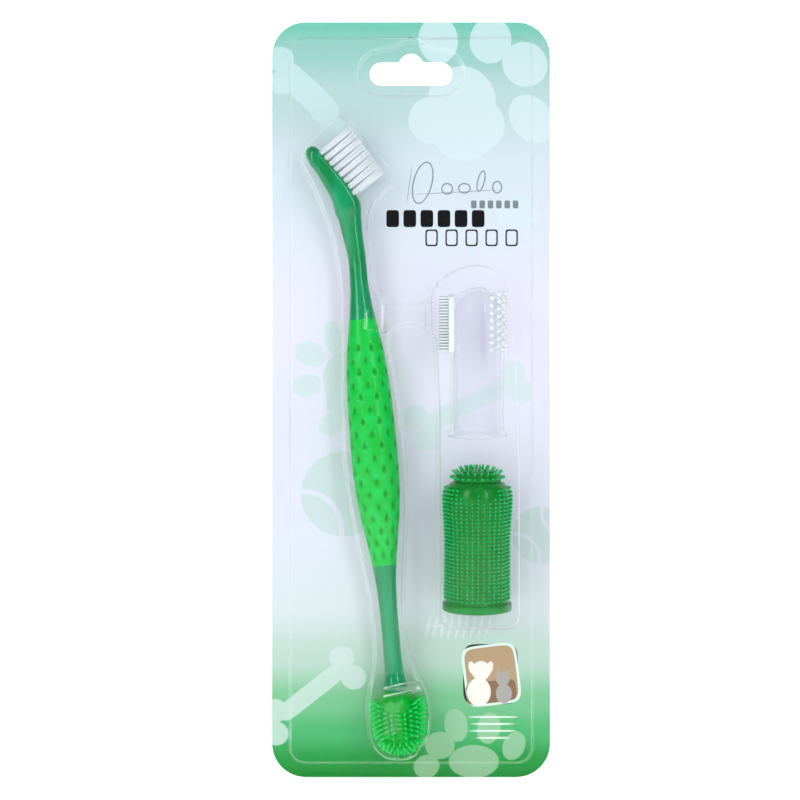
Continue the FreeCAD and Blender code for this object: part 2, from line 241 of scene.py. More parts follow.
# %% Light
def softbox(name, wide, tall, side, front, up, radiance):
    """An upright area light that faces the pack."""
    lamp = bpy.data.lights.new(name, "AREA")
    lamp.shape = "RECTANGLE"
    lamp.size, lamp.size_y = wide, tall
    lamp.energy = radiance * math.pi * wide * tall
    holder = bpy.data.objects.new(name, lamp)
    holder.location = middle + Vector((side, front, up))
    holder.rotation_mode = "QUATERNION"
    holder.rotation_quaternion = Vector((-side, -front, 0)).to_track_quat("-Z", "Y")
    bpy.context.scene.collection.objects.link(holder)
    return holder


STRIP_TALL = 1.1
middle = (cad_low + cad_high) / 2
world = bpy.data.worlds.new("white_tent")
world.use_nodes = True
world.node_tree.nodes["Background"].inputs["Color"].default_value = (0.96, 0.965, 1.0, 1)
world.node_tree.nodes["Background"].inputs["Strength"].default_value = 0.14
bpy.context.scene.world = world
softbox("softbox_left", 0.34, STRIP_TALL, -0.62, -0.74, STRIP_TALL / 2, 3.4)
softbox("softbox_right", 0.12, STRIP_TALL, 0.5, -0.8, STRIP_TALL / 2, 7.0)
fill = softbox("front_fill", 1.4, 1.4, 0.0, -1.6, 0.1, 1.75)
fill.visible_glossy = False  # a scrim too soft to show as a reflection
bpy.context.scene.view_settings.view_transform = "Standard"
print("lights aim at", [round(v, 3) for v in middle])

# %% [markdown]
# ## Camera
# The camera faces the card squarely from 0.8 m, as for a catalogue picture.
# Its width of view, 288 mm at the card, is set by the lens alone.

# %% Camera
VIEW_WIDTH, VIEW_DISTANCE, SENSOR = 288 * MM, 800 * MM, 36.0
camera_data = bpy.data.cameras.new("camera")
camera_data.sensor_width = SENSOR
camera_data.lens = SENSOR * VIEW_DISTANCE / VIEW_WIDTH
camera = bpy.data.objects.new("camera", camera_data)
camera.location = (-3.96 * MM, -VIEW_DISTANCE, -124.56 * MM)
camera.rotation_euler = (math.radians(90), 0, 0)
bpy.context.scene.collection.objects.link(camera)
bpy.context.scene.camera = camera
print("lens", camera_data.lens, "mm")

# %% [markdown]
# ## The printed card
# The card is coated board, offset printed on one side: a wash from aqua
# through pale blue to deep green, with faint paws, bones and balls in the
# same tints, and blocks of type. Printing has no thickness, so it is drawn in
# the material rather than built. Each shape is a mask of ellipses and bars,
# placed in millimetres on the card by its Object coordinates. The type is
# greeked: plain bars stand for the lines, and a looped flourish for the script.

# %% Masks for printed shapes
class Print:
    """Gathers masks in the plane of the card and mixes inks by them."""

    def __init__(self, tree):
        self.tree = tree
        coords = add(tree, "TexCoord")
        self.flat = add(
            tree, "VectorMath",
            {0: coords.outputs["Object"], 1: (1.0 / MM, 0.0, 1.0 / MM)},
            operation="MULTIPLY",
        ).outputs[0]

    def math(self, operation, a, b=0.0, clamp=False):
        return add(
            self.tree, "Math", {0: a, 1: b}, operation=operation, use_clamp=clamp
        ).outputs[0]

    def local(self, x, z, wide, high, turn):
        return add(
            self.tree, "Mapping",
            {
                "Vector": self.flat, "Location": (x, 0, z),
                "Rotation": (0, math.radians(-turn), 0), "Scale": (wide, 1.0, high),
            },
            vector_type="TEXTURE",
        ).outputs[0]

    def oval(self, x, z, wide, high, turn=0.0):
        inside = add(
            self.tree, "TexGradient", {0: self.local(x, z, wide, high, turn)},
            gradient_type="SPHERICAL",
        ).outputs["Fac"]
        return self.math("MULTIPLY", inside, min(wide, high) * 6.0, clamp=True)

    def bar(self, x, z, wide, high, turn=0.0):
        place = self.local(x, z, wide, high, turn)
        cubed = place
        for _ in range(2):
            cubed = add(
                self.tree, "VectorMath", {0: cubed, 1: place}, operation="MULTIPLY"
            ).outputs[0]
        inside = add(
            self.tree, "TexGradient", {0: cubed}, gradient_type="SPHERICAL"
        ).outputs["Fac"]
        return self.math("MULTIPLY", inside, min(wide, high) * 3.0, clamp=True)

    def join(self, masks):
        whole = masks[0]
        for mask in masks[1:]:
            whole = self.math("MAXIMUM", whole, mask)
        return whole

    def without(self, mask, other):
        return self.math("SUBTRACT", mask, other, clamp=True)

    def ink(self, colour, mask, over, strength=1.0):
        share = self.math("MULTIPLY", mask, strength)
        return add(
            self.tree, "Mix", {0: share, 6: over, 7: colour}, data_type="RGBA"
        ).outputs[2]


print("masks are in mm on the card")


# %% Paws, bones, balls and fish bones
def paw(art, pad, toes):
    return art.join([art.oval(*shape) for shape in pad + toes])


def bone(art, ends, shaft):
    return art.join([art.oval(*knob) for knob in ends] + [art.bar(*shaft)])


def ball(art, x, z, radius):
    """A tennis ball: a disc with two pale seams curving across it."""
    seams = []
    for side in (-1, 1):
        outer = art.oval(x + side * radius * 0.95, z + side * radius * 0.85,
                         radius * 0.98, radius * 0.98)
        inner = art.oval(x + side * radius * 0.95, z + side * radius * 0.85,
                         radius * 0.86, radius * 0.86)
        seams.append(art.without(outer, inner))
    return art.without(art.oval(x, z, radius, radius), art.join(seams))


def fish_bones(art, x, z, length, ribs, reach):
    """A spine with ribs, a round head at the right and a tail at the left."""
    made = [art.oval(x, z, length / 2, 0.6)]
    for i in range(ribs):
        rib_x = x - length * 0.36 + length * 0.72 * i / (ribs - 1)
        tall = reach * (0.7 + 0.3 * math.sin(math.pi * (i + 0.5) / ribs))
        made.append(art.oval(rib_x, z, 0.62, tall, -14))
    return art.join(made)


print("pet shapes ready")


# %% The card's inks
def card_material():
    made, tree = new_material("offset_printed_board")
    art = Print(tree)
    split = add(tree, "SeparateXYZ", {0: art.flat})
    height = add(tree, "MapRange", {
        "Value": split.outputs["Z"], "From Min": cad_low.z / MM, "From Max": cad_high.z / MM,
    }).outputs[0]
    wash = add(tree, "ValToRGB", {"Fac": height})
    ramp = wash.color_ramp
    ramp.interpolation = "EASE"
    stops = [
        (0.0, "#018428"), (0.022, "#079438"), (0.06, "#44b26c"), (0.10, "#74c08c"),
        (0.16, "#b8d4c7"), (0.23, "#d4dfe3"), (0.34, "#dbdeed"), (0.62, "#e2e1f1"),
        (0.80, "#cfdde5"), (0.90, "#b3d0cf"), (0.965, "#91c5bb"), (1.0, "#6cc1ac"),
    ]
    while len(ramp.elements) < len(stops):
        ramp.elements.new(0.5)
    for element, (place, colour) in zip(ramp.elements, stops):
        element.position = place
        element.color = linear(colour)

    big_paw = paw(
        art,
        [(18.2, -17.8, 12.5, 13.4), (7.6, -24.0, 8.6, 8.6), (19.0, -30.2, 10.6, 8.4),
         (12.6, -20.6, 9.0, 9.0), (26.8, -25.8, 7.0, 8.4)],
        [(9.8, 5.0, 7.2, 8.6, 6), (28.6, 4.8, 7.6, 8.4, -8), (41.0, -3.8, 8.4, 8.0, -40),
         (43.4, -23.4, 9.6, 7.4, -52)],
    )
    left_paw = paw(
        art,
        [(-25.6, -118.6, 6.0, 9.4, 12), (-24.0, -112.6, 5.6, 5.6), (-25.4, -125.0, 5.2, 5.6)],
        [(-28.2, -101.8, 3.2, 5.9, 8), (-36.2, -108.0, 5.8, 4.5, -24),
         (-37.6, -119.4, 5.4, 4.2, 12), (-29.0, -133.4, 4.8, 3.8, 30)],
    )
    low_paw = paw(
        art,
        [(22.6, -254.6, 9.2, 6.0), (10.4, -248.8, 5.4, 5.0)],
        [(16.2, -241.6, 4.3, 6.1, 10), (28.0, -242.6, 4.3, 5.8, -10),
         (5.6, -256.4, 4.8, 4.2, 20), (37.0, -249.0, 4.0, 5.4, -24)],
    )
    top_bone = bone(
        art,
        [(-47.0, -2.0, 5.0, 4.6), (-46.8, -10.4, 4.4, 4.4), (-31.0, -20.6, 5.2, 4.8),
         (-28.4, -27.0, 4.6, 4.6)],
        (-38.6, -12.6, 11.0, 4.8, -42),
    )
    mid_bone = bone(
        art,
        [(1.6, -130.6, 4.6, 4.3), (5.6, -138.6, 4.6, 4.3), (36.8, -114.8, 4.5, 4.3),
         (39.6, -121.6, 4.5, 4.3)],
        (20.6, -126.0, 19.0, 3.3, 26),
    )
    low_bone = bone(
        art,
        [(-24.9, -217.2, 4.6, 4.4), (-20.6, -224.4, 4.6, 4.4), (-48.8, -236.4, 4.4, 4.3),
         (-48.4, -244.6, 4.4, 4.3)],
        (-36.0, -229.8, 14.0, 3.3, 38),
    )
    fish = fish_bones(art, 20.5, -68.0, 42.0, 8, 9.6)
    fish = art.join([fish, art.oval(38.4, -57.6, 8.2, 6.6, -12)])
    low_fish = fish_bones(art, 17.0, -205.8, 30.0, 9, 5.6)
    left_ball = ball(art, -24.4, -158.4, 15.3)
    right_ball = ball(art, 46.6, -173.2, 10.2)

    faint = wash.outputs["Color"]
    faint = art.ink(linear("#d2e6ea"), big_paw, faint, 0.68)
    faint = art.ink(linear("#c6e1e3"), top_bone, faint, 0.68)
    faint = art.ink(linear("#c9dfdf"), art.join([left_paw, mid_bone]), faint, 0.72)
    faint = art.ink(linear("#bdd6d2"), art.join([left_ball, right_ball]), faint, 0.66)
    faint = art.ink(linear("#d3e4e8"), fish, faint, 0.6)
    faint = art.ink(linear("#eaf0f4"), low_fish, faint, 0.5)
    faint = art.ink(linear("#cfe2de"), low_bone, faint, 0.72)
    faint = art.ink(linear("#aacfae"), low_paw, faint, 0.62)
    lettered = type_blocks(art, faint)
    pictured = picture(art, lettered)

    coords = add(tree, "TexCoord")
    fibre = add(tree, "TexNoise", {
        "Vector": coords.outputs["Object"], "Scale": 900.0, "Detail": 3.0,
    })
    board = add(tree, "ValToRGB", {"Fac": fibre.outputs["Fac"]})
    board.color_ramp.elements[0].color = linear("#d9d8d3")
    board.color_ramp.elements[1].color = linear("#e6e5e1")
    facing = add(tree, "NewGeometry")
    side = add(tree, "SeparateXYZ", {0: facing.outputs["Normal"]})
    front = art.math("LESS_THAN", side.outputs["Y"], -0.5)
    paper = add(tree, "Mix", {
        0: front, 6: board.outputs["Color"], 7: pictured,
    }, data_type="RGBA").outputs[2]
    relief = add(tree, "Bump", {
        "Height": fibre.outputs["Fac"], "Strength": 0.06, "Distance": 0.02 * MM,
    })
    coated = add(tree, "BsdfPrincipled", {
        "Base Color": paper, "Roughness": 0.42, "Normal": relief.outputs["Normal"],
        "Specular IOR Level": 0.12,
    })
    set_surface(tree, coated.outputs[0])
    return made


def type_blocks(art, under):
    """Greeked type: a flourish, a light line, heavy blocks and thin blocks."""
    light = []
    for x, z, wide, tall, turn in [
        (4.2, -46.4, 3.6, 8.0, -14), (13.0, -48.6, 2.2, 2.2, 0), (19.2, -48.4, 2.4, 2.0, 0),
        (25.2, -45.8, 1.5, 4.2, -14), (31.0, -48.0, 1.9, 2.4, 0),
    ]:
        outer = art.oval(x, z, wide, tall, turn)
        inner = art.oval(x, z, wide - 0.45, tall - 0.45, turn)
        light.append(art.without(outer, inner))
    light.append(art.bar(16.2, -49.8, 17.2, 0.22, 3))
    light.append(art.bar(-0.6, -47.2, 0.22, 7.6, -8))
    for i in range(6):
        light.append(art.bar(22.6 + 3.0 * i, -54.2, 1.05, 1.5))
    heavy = [art.bar(-6.6 + 6.15 * i, -59.3, 2.35, 3.15) for i in range(6)]
    thin = []
    for i in range(5):
        outer = art.bar(7.4 + 7.2 * i, -66.2, 2.3, 3.1)
        inner = art.bar(7.4 + 7.2 * i, -66.2, 1.75, 2.55)
        thin.append(art.without(outer, inner))
    under = art.ink(linear("#4c5a60"), art.join(light), under, 0.8)
    return art.ink(linear("#05070a"), art.join(heavy + thin), under)


def picture(art, under):
    """A small framed picture of two round-headed pets, and caption bars."""
    dark = art.bar(28.6, -223.2, 9.9, 10.9)
    frame_card = art.bar(28.9, -223.4, 10.0, 11.0, 7)
    window = art.bar(28.9, -223.4, 9.1, 10.1, 7)
    sofa = art.bar(28.9, -229.6, 9.1, 4.0, 7)
    puppy = art.join([
        art.oval(25.2, -222.0, 3.4, 3.6), art.oval(24.4, -229.6, 4.4, 5.2),
        art.oval(22.0, -221.0, 1.3, 2.6, 16), art.oval(28.2, -221.0, 1.3, 2.6, -16),
    ])
    kitten = art.join([
        art.oval(33.0, -225.0, 2.5, 2.5), art.oval(33.4, -230.2, 3.0, 3.6),
        art.oval(31.6, -222.8, 0.8, 1.3, 14), art.oval(34.6, -222.8, 0.8, 1.3, -14),
    ])
    inked = art.ink(linear("#0b0f0e"), dark, under)
    inked = art.ink(linear("#dff1e8"), frame_card, inked)
    inked = art.ink(linear("#b79a78"), window, inked)
    inked = art.ink(linear("#8a6a4c"), sofa, inked)
    inked = art.ink(linear("#f3efe8"), puppy, inked)
    inked = art.ink(linear("#a9a6a2"), kitten, inked)
    lines = []
    for row in range(4):
        wide = (9.4, 8.2, 9.0, 6.4)[row]
        lines.append(art.bar(29.4, -238.6 - 2.5 * row, wide, 0.42))
    return art.ink(linear("#f4fbf6"), art.join(lines), inked, 0.75)


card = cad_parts["backing_card"]
card.data.materials.clear()
card.data.materials.append(card_material())
print("card inks use", len(card.data.materials[0].node_tree.nodes), "nodes")

# %% [markdown]
# ## The blister
# A blister is one sheet of clear PET, heated and drawn over a mould. What the
# eye reads is not its flat areas but its edges: a small radius at the foot of
# each wall and another at its top, each catching the light as a fine line.
# So the sheet is built level by level. The flat areas are filled between
# outlines, and each wall is a stack of insets that follows a rounded profile.
# The pocket's corners are cut again and again first, so that every level of
# its wall is round in plan as well.

# %% Outlines on the sheet, in mm
CARD_FACE = -0.5
SHEET = 0.38
FLANGE = CARD_FACE - SHEET
PLATEAU_RISE = 3.9
POCKET_RISE = 15.0
CORNER_CUT = 3.6  # leaves corners a little rounder than the wall's inset

# inset from the foot, and height as a share of the wall's height
PLATEAU_WALL = [(0.35, 0.03), (0.75, 0.16), (1.1, 0.80), (1.5, 0.95), (2.1, 1.0)]
POCKET_WALL = [
    (0.2, 0.01), (0.45, 0.035), (0.6, 0.09), (1.35, 0.88), (1.5, 0.95), (1.8, 0.985),
    (2.3, 1.0),
]
POCKET = [
    (-42.5, -37.2), (-23.4, -20.8), (-2.8, -46.4), (-10.2, -52.0), (-14.4, -58.6),
    (-12.8, -76.0), (-11.4, -89.4), (6.0, -89.4), (6.0, -83.6), (9.2, -81.4),
    (13.6, -78.6), (19.6, -75.9), (27.0, -76.0), (33.4, -79.4), (36.2, -85.0),
    (37.6, -110.0), (38.9, -128.0), (39.2, -205.6), (8.4, -205.6), (8.3, -128.0),
    (7.0, -98.8), (-8.4, -98.8), (-5.6, -112.0), (-3.2, -126.0), (-1.2, -142.0),
    (-0.6, -158.0), (-1.2, -178.0), (-2.0, -196.0), (-1.0, -212.0), (2.4, -220.4),
    (7.4, -229.0), (7.6, -243.4), (3.9, -250.7), (-4.4, -252.9), (-12.7, -250.7),
    (-16.4, -243.4), (-16.8, -231.0), (-14.4, -221.0), (-13.8, -210.0),
    (-16.0, -194.0), (-20.8, -172.0), (-24.6, -150.0), (-25.6, -128.0),
    (-25.4, -106.0), (-26.0, -84.0), (-28.8, -66.0), (-35.6, -49.0),
]


def soften(points, reach, rounds=3):
    """Cuts every corner again and again, which leaves a smooth closed curve."""
    for _ in range(rounds):
        cut = []
        for i, (x, z) in enumerate(points):
            for nx, nz in (points[i - 1], points[(i + 1) % len(points)]):
                run = math.hypot(nx - x, nz - z)
                share = min(reach / run, 0.3)
                cut.append((x + (nx - x) * share, z + (nz - z) * share))
        points, reach = cut, reach / 2
    return points


print(len(soften(POCKET, CORNER_CUT)), "points outline the pocket")


# %% Loops and walls
def rounded_rect(x0, z0, x1, z1, radius, per_corner=8):
    points = []
    for cx, cz, start in [
        (x1 - radius, z0 + radius, -90), (x1 - radius, z1 - radius, 0),
        (x0 + radius, z1 - radius, 90), (x0 + radius, z0 + radius, 180),
    ]:
        for turn in steps(start, start + 90, per_corner):
            a = math.radians(turn)
            points.append((cx + radius * math.cos(a), cz + radius * math.sin(a)))
    return points


def slot_outline(grow):
    """The hang slot: round ends, and a hump where the peg bears."""
    end, hump = 4.2 + grow, 4.4 + grow
    meet = math.degrees(math.asin((1.3 + grow) / hump))
    points = []
    for turn in steps(-90, 90, 9):
        a = math.radians(turn)
        points.append((10.7 + end * math.cos(a), -7.3 + end * math.sin(a)))
    points.append((hump * math.cos(math.radians(meet)) + 1.3, -3.1 + grow))
    for turn in steps(meet + 12, 168 - meet, 9):
        a = math.radians(turn)
        points.append((hump * math.cos(a), -4.4 + hump * math.sin(a)))
    points.append((-hump * math.cos(math.radians(meet)) - 1.3, -3.1 + grow))
    for turn in steps(90, 270, 9):
        a = math.radians(turn)
        points.append((-10.7 + end * math.cos(a), -7.3 + end * math.sin(a)))
    return points


def outline_face(bm, points, y):
    face = bm.faces.new([bm.verts.new((x, y, z)) for x, z in points])
    face.normal_update()
    if face.normal.y > 0:
        face.normal_flip()
    return face


def build_wall(points, foot, rise, profile):
    """A raised face whose wall follows a rounded profile."""
    bm = bmesh.new()
    top = outline_face(bm, points, foot)
    inset_before, share_before = 0.0, 0.0
    for inset, share in profile:
        bmesh.ops.inset_region(
            bm, faces=[top], thickness=inset - inset_before, use_boundary=True,
            depth=(share - share_before) * rise, use_even_offset=True,
        )
        inset_before, share_before = inset, share
    return bm


def cut_across(bm, places):
    """Edges where the pocket's height changes, at planes of constant x or z."""
    for axis, place in places:
        normal = (1, 0, 0) if axis == "x" else (0, 0, 1)
        point = tuple(place * n for n in normal)
        bmesh.ops.bisect_plane(
            bm, geom=bm.verts[:] + bm.edges[:] + bm.faces[:], dist=1e-4,
            plane_co=point, plane_no=normal,
        )


def ease(value, low, high):
    u = min(max((value - low) / (high - low), 0.0), 1.0)
    return u * u * (3 - 2 * u)


def pocket_rise(x, z):
    """How far each part of the pocket stands above the plateau."""
    handle = 13.2 + 1.6 * ease(-z, 56, 64) + 3.0 * ease(-z, 221, 226)
    finger = 22.7 + 3.5 * ease(-z, 142, 147)
    bridge = 6.2
    if x > 2:
        return bridge + (finger - bridge) * ease(x, 5.0, 6.9)
    if -100.5 < z < -88:
        return handle + (bridge - handle) * ease(x, -11.3, -9.3)
    return handle


print("pocket stands", round(pocket_rise(20, -180), 1), "mm over the green brush")


# %% One sheet from its levels
def join_meshes(parts):
    whole = bmesh.new()
    for part in parts:
        mesh = bpy.data.meshes.new("part")
        part.to_mesh(mesh)
        part.free()
        whole.from_mesh(mesh)
        bpy.data.meshes.remove(mesh)
    return whole


def flat_edges_at(bm, y):
    level = []
    for edge in bm.edges:
        if len(edge.link_faces) < 2 and all(abs(v.co.y - y) < 1e-4 for v in edge.verts):
            level.append(edge)
    return level


def biggest_face_off(bm):
    bm.faces.remove(max(bm.faces, key=lambda face: face.calc_area()))
    return bm


def make_blister():
    plateau_y = FLANGE - PLATEAU_RISE
    edge = bmesh.new()
    outline_face(edge, rounded_rect(-49.7, -259.9, 49.7, 11.0, 11.7), FLANGE)
    edge.faces.remove(edge.faces[:][0])
    plateau = build_wall(
        rounded_rect(-44.4, -255.7, 44.5, 6.5, 6.4), FLANGE, PLATEAU_RISE, PLATEAU_WALL
    )
    recess_profile = [(2.1 - i, 1.0 - s) for i, s in reversed([(0, 0)] + PLATEAU_WALL)]
    recess = build_wall(
        slot_outline(3.1 + 2.1), plateau_y, -PLATEAU_RISE, recess_profile[1:]
    )
    pocket = build_wall(soften(POCKET, CORNER_CUT), plateau_y, POCKET_RISE, POCKET_WALL)
    front = max(pocket.faces, key=lambda face: face.calc_area())
    bmesh.ops.triangulate(pocket, faces=[front], ngon_method="BEAUTY")
    cut_across(pocket, [("z", z) for z in (-56, -60, -64, -221, -223.5, -226)])
    cut_across(pocket, [("z", z) for z in (-88, -100.5, -142, -144.5, -147)])
    cut_across(pocket, [("x", x) for x in (-11.3, -10.3, -9.3, 5.0, 5.95, 6.9)])
    for v in pocket.verts:
        share = (plateau_y - v.co.y) / POCKET_RISE
        v.co.y = plateau_y - share * pocket_rise(v.co.x, v.co.z)
    slot_edge = bmesh.new()
    outline_face(slot_edge, slot_outline(0.0), FLANGE)
    slot_edge.faces.remove(slot_edge.faces[:][0])
    biggest_face_off(plateau)
    biggest_face_off(recess)
    bm = join_meshes([edge, plateau, recess, pocket, slot_edge])
    on_plateau = flat_edges_at(bm, plateau_y)
    at_card = flat_edges_at(bm, FLANGE)
    hole = slot_outline(3.1)
    reach = max(x for x, _ in hole) + 0.2
    land = [e for e in at_card if all(abs(v.co.x) < reach and -16 < v.co.z < 4.0
                                      for v in e.verts)]
    flange = [e for e in at_card if e not in land]
    for edges in (on_plateau, flange, land):
        bmesh.ops.triangle_fill(bm, edges=edges, normal=(0, -1, 0), use_beauty=True)
    bmesh.ops.remove_doubles(bm, verts=bm.verts[:], dist=1e-4)
    for face in bm.faces:
        if abs(face.normal.y) > 0.5 and face.normal.y > 0:
            face.normal_flip()
    bmesh.ops.recalc_face_normals(bm, faces=bm.faces[:])
    if sum(f.normal.y * f.calc_area() for f in bm.faces) > 0:
        bmesh.ops.reverse_faces(bm, faces=bm.faces[:])
    print("open edges:", sum(e.is_boundary for e in bm.edges))
    bmesh.ops.scale(bm, vec=(MM, MM, MM), verts=bm.verts[:])
    return bm


# %% [markdown]
# ## Clear PET
# Thermoformed PET is a clear, colourless sheet with a high gloss. Seen square
# on it is all but invisible, and it turns to a mirror at a grazing angle. So
# it is a clear shader mixed with a polished one: 1% of it square on, and more
# the further the surface turns away, which is near the shape of the Fresnel
# law. The Fresnel node itself would trap light between the faces of a sheet
# this thin.

# %% PET
def pet_material():
    made, tree = new_material("thermoformed_clear_PET")
    coords = add(tree, "TexCoord")
    draw = add(tree, "TexNoise", {
        "Vector": coords.outputs["Object"], "Scale": 45.0, "Detail": 2.0,
    })
    relief = add(tree, "Bump", {
        "Height": draw.outputs["Fac"], "Strength": 0.25, "Distance": 0.6 * MM,
    })
    turn = add(tree, "LayerWeight", {"Blend": 0.5, "Normal": relief.outputs["Normal"]})
    law = add(tree, "Math", {0: turn.outputs["Facing"], 1: 2.5}, operation="POWER")
    share = add(tree, "Math", {0: law.outputs[0], 1: 0.9, 2: 0.012},
                operation="MULTIPLY_ADD", use_clamp=True)
    clear = add(tree, "BsdfTransparent", {"Color": (0.992, 0.995, 0.997, 1)})
    polish = add(tree, "BsdfPrincipled", {
        "Base Color": linear("#ffffff"), "Metallic": 0.9, "Roughness": 0.06,
        "Normal": relief.outputs["Normal"],
    })
    mix = add(tree, "MixShader", {0: share.outputs[0], 1: clear.outputs[0],
                                  2: polish.outputs[0]})
    set_surface(tree, mix.outputs[0])
    return made


def let_light_through(clear):
    """Thin clear walls hardly dim what is behind them, and their many layers
    would otherwise use up the number of clear surfaces that light may cross."""
    clear.visible_shadow = False
    clear.visible_diffuse = False


blister = make_piece(
    make_blister(), "formed_blister", pet_material(), "blister", "blister_shell",
)
wall = blister.modifiers.new("sheet_thickness", "SOLIDIFY")
wall.thickness = 0.34 * MM
wall.offset = -1.0
flat = blister.modifiers.new("flat_areas_stay_flat", "WEIGHTED_NORMAL")
flat.weight = 80
let_light_through(blister)

# %% [markdown]
# ## The double-headed brush
# The stick is one injection moulding in a translucent green plastic, from the
# bristle head to the spigot that carries the rubber cap. Its limb has a smooth
# outline, so one table of cross-sections is enough: the ring is extruded from
# station to station, and a smooth curve passes through the table's rows. A
# chain of separate solids would show a crease at every joint.

# %% The brush's lines, in mm
BRUSH_Y = -10.7
SHAFT_TOP = Vector((-19.3, BRUSH_Y, -74.0))
SHAFT_TILT = math.radians(5.14)
DOWN_SHAFT = Vector((math.sin(SHAFT_TILT), 0, -math.cos(SHAFT_TILT)))
ACROSS_SHAFT = Vector((math.cos(SHAFT_TILT), 0, math.sin(SHAFT_TILT)))
HEAD_TIP = Vector((-36.6, BRUSH_Y, -35.0))
HEAD_SLOPE = math.radians(50.5)
DOWN_HEAD = Vector((math.cos(HEAD_SLOPE), 0, -math.sin(HEAD_SLOPE)))
BRISTLE_WAY = Vector((math.sin(HEAD_SLOPE), 0, math.cos(HEAD_SLOPE)))
TO_BACK = Vector((0, 1, 0))
GRIP_START, GRIP_END, SHAFT_LENGTH = 22.1, 109.6, 154.4
SPIGOT_RADIUS, SPIGOT_LENGTH = 2.8, 13.0


def along_shaft(t, side=0.0):
    return SHAFT_TOP + DOWN_SHAFT * t + ACROSS_SHAFT * side


def along_head(u, v=0.0):
    return HEAD_TIP + DOWN_HEAD * u + BRISTLE_WAY * v


print("the shaft ends at", [round(c, 1) for c in along_shaft(SHAFT_LENGTH)])


# %% Cross-sections of the stick
# place along the head or shaft, offset, half width, half depth, squareness
HEAD_STATIONS = [
    (0.0, 0.0, 0.35, 0.6, 2.1), (0.15, 0.0, 0.9, 1.5, 2.2), (0.8, 0.0, 1.8, 2.9, 2.4),
    (2.2, -0.1, 2.6, 4.0, 2.8), (4.2, -0.3, 2.9, 4.6, 3.2), (9.5, -0.5, 3.1, 4.8, 3.6),
    (14.5, -0.8, 3.6, 4.8, 3.6), (19.5, -1.2, 4.1, 4.8, 3.4),
]
# the same at the elbow, with the slope of the limb there in degrees
ELBOW_STATIONS = [
    (-17.5, -1.5, 62.0, 4.95, 4.6, 3.0), (-14.5, -1.2, 75.0, 4.2, 4.2, 2.7),
    (-8.6, -0.8, 83.0, 3.65, 3.7, 2.3),
]
SHAFT_STATIONS = [
    (0.0, 3.2, 3.2), (9.0, 3.25, 3.2), (15.0, 3.75, 3.5), (22.0, 4.7, 4.2),
    (35.0, 6.8, 5.7), (48.0, 7.8, 6.5), (66.0, 8.3, 6.8), (80.0, 8.1, 6.6),
    (92.0, 7.0, 5.8), (104.0, 5.1, 4.5), (114.0, 3.8, 3.6), (126.0, 3.2, 3.2),
    (142.0, 3.15, 3.15), (148.5, 3.5, 3.5), (152.6, 4.15, 4.15), (154.4, 4.15, 4.15),
]
CORE_STATIONS = [
    (19.1, 3.2, 2.9), (40.0, 4.4, 3.6), (66.0, 5.0, 4.2), (92.0, 4.3, 3.6),
    (112.6, 2.8, 2.7),
]


def limb_stations():
    """Rows of distance, centre x and z, slope, half width, half depth, power."""
    rows = []
    slope = math.degrees(HEAD_SLOPE)
    for u, v, wide, deep, power in HEAD_STATIONS:
        rows.append((along_head(u, v), slope, wide, deep, power))
    for t, side, slope, wide, deep, power in ELBOW_STATIONS:
        rows.append((along_shaft(t, side), slope, wide, deep, power))
    for t, wide, deep in SHAFT_STATIONS:
        rows.append((along_shaft(t), 90 - math.degrees(SHAFT_TILT), wide, deep, 2.0))
    table, gone = [], 0.0
    for i, (centre, *shape) in enumerate(rows):
        if i:
            gone += (centre - rows[i - 1][0]).length
        table.append((gone, centre.x, centre.z, *shape))
    return table


def limb_section(row):
    """The oval across the limb, as a point at an angle."""
    x, z, slope, wide, deep, power = row
    a = math.radians(slope)
    across = Vector((math.sin(a), 0, math.cos(a)))
    centre = Vector((x, BRUSH_Y, z))

    def at(turn):
        c, s = math.cos(turn), math.sin(turn)
        w = wide * math.copysign(abs(c) ** (2 / power), c)
        d = deep * math.copysign(abs(s) ** (2 / power), s)
        return centre + across * w + TO_BACK * d

    return at


def shaft_section(t, wide, deep):
    centre = along_shaft(t)
    return lambda turn: (
        centre + ACROSS_SHAFT * (wide * math.cos(turn)) + TO_BACK * (deep * math.sin(turn))
    )


limb = limb_stations()
shaft_begins = limb[-1][0] - SHAFT_LENGTH
print("the limb is", round(limb[-1][0], 1), "mm long")


# %% Hard edges where a surface turns sharply
def sharpen(bm, degrees=42):
    for edge in bm.edges:
        edge.smooth = edge.calc_face_angle(0.0) < math.radians(degrees)


def in_metres(bm):
    bmesh.ops.scale(bm, vec=(MM, MM, MM), verts=bm.verts[:])
    return bm


# %% The stick
def handle_stick():
    bm = bmesh.new()
    near_tip = [limb_section(through(limb, s)) for s in (0.0, 0.15, 0.4, 0.8, 1.4, 2.2, 3.2)]
    upper = [limb_section(through(limb, s))
             for s in steps(4.2, shaft_begins + GRIP_START, 84)]
    inside = [shaft_section(t, *through(CORE_STATIONS, t))
              for t in steps(GRIP_START, GRIP_END, 24)]
    lower = [limb_section(through(limb, s))
             for s in steps(shaft_begins + GRIP_END, limb[-1][0] - 0.25, 52)]
    wide, deep = SHAFT_STATIONS[-1][1:]
    collar = [shaft_section(SHAFT_LENGTH - 0.07, wide - 0.07, deep - 0.07),
              shaft_section(SHAFT_LENGTH, wide - 0.3, deep - 0.3)]
    spigot = [shaft_section(t, SPIGOT_RADIUS, SPIGOT_RADIUS)
              for t in (SHAFT_LENGTH, SHAFT_LENGTH + SPIGOT_LENGTH)]
    close_ends(bm, ring_sweep(bm, near_tip + upper + inside + lower + collar + spigot, 40))
    sharpen(bm)
    return in_metres(bm)


# %% [markdown]
# ## Translucent green plastic
# The stick is a tinted clear plastic such as SAN, moulded in a polished tool.
# Light goes into it and comes back green, thin places look lighter and the
# edges go dark, and the surface shines. A little transmission under a polished
# surface stands for that. A faint flow line pattern, a few millimetres
# long, is what the melt leaves along the limb.

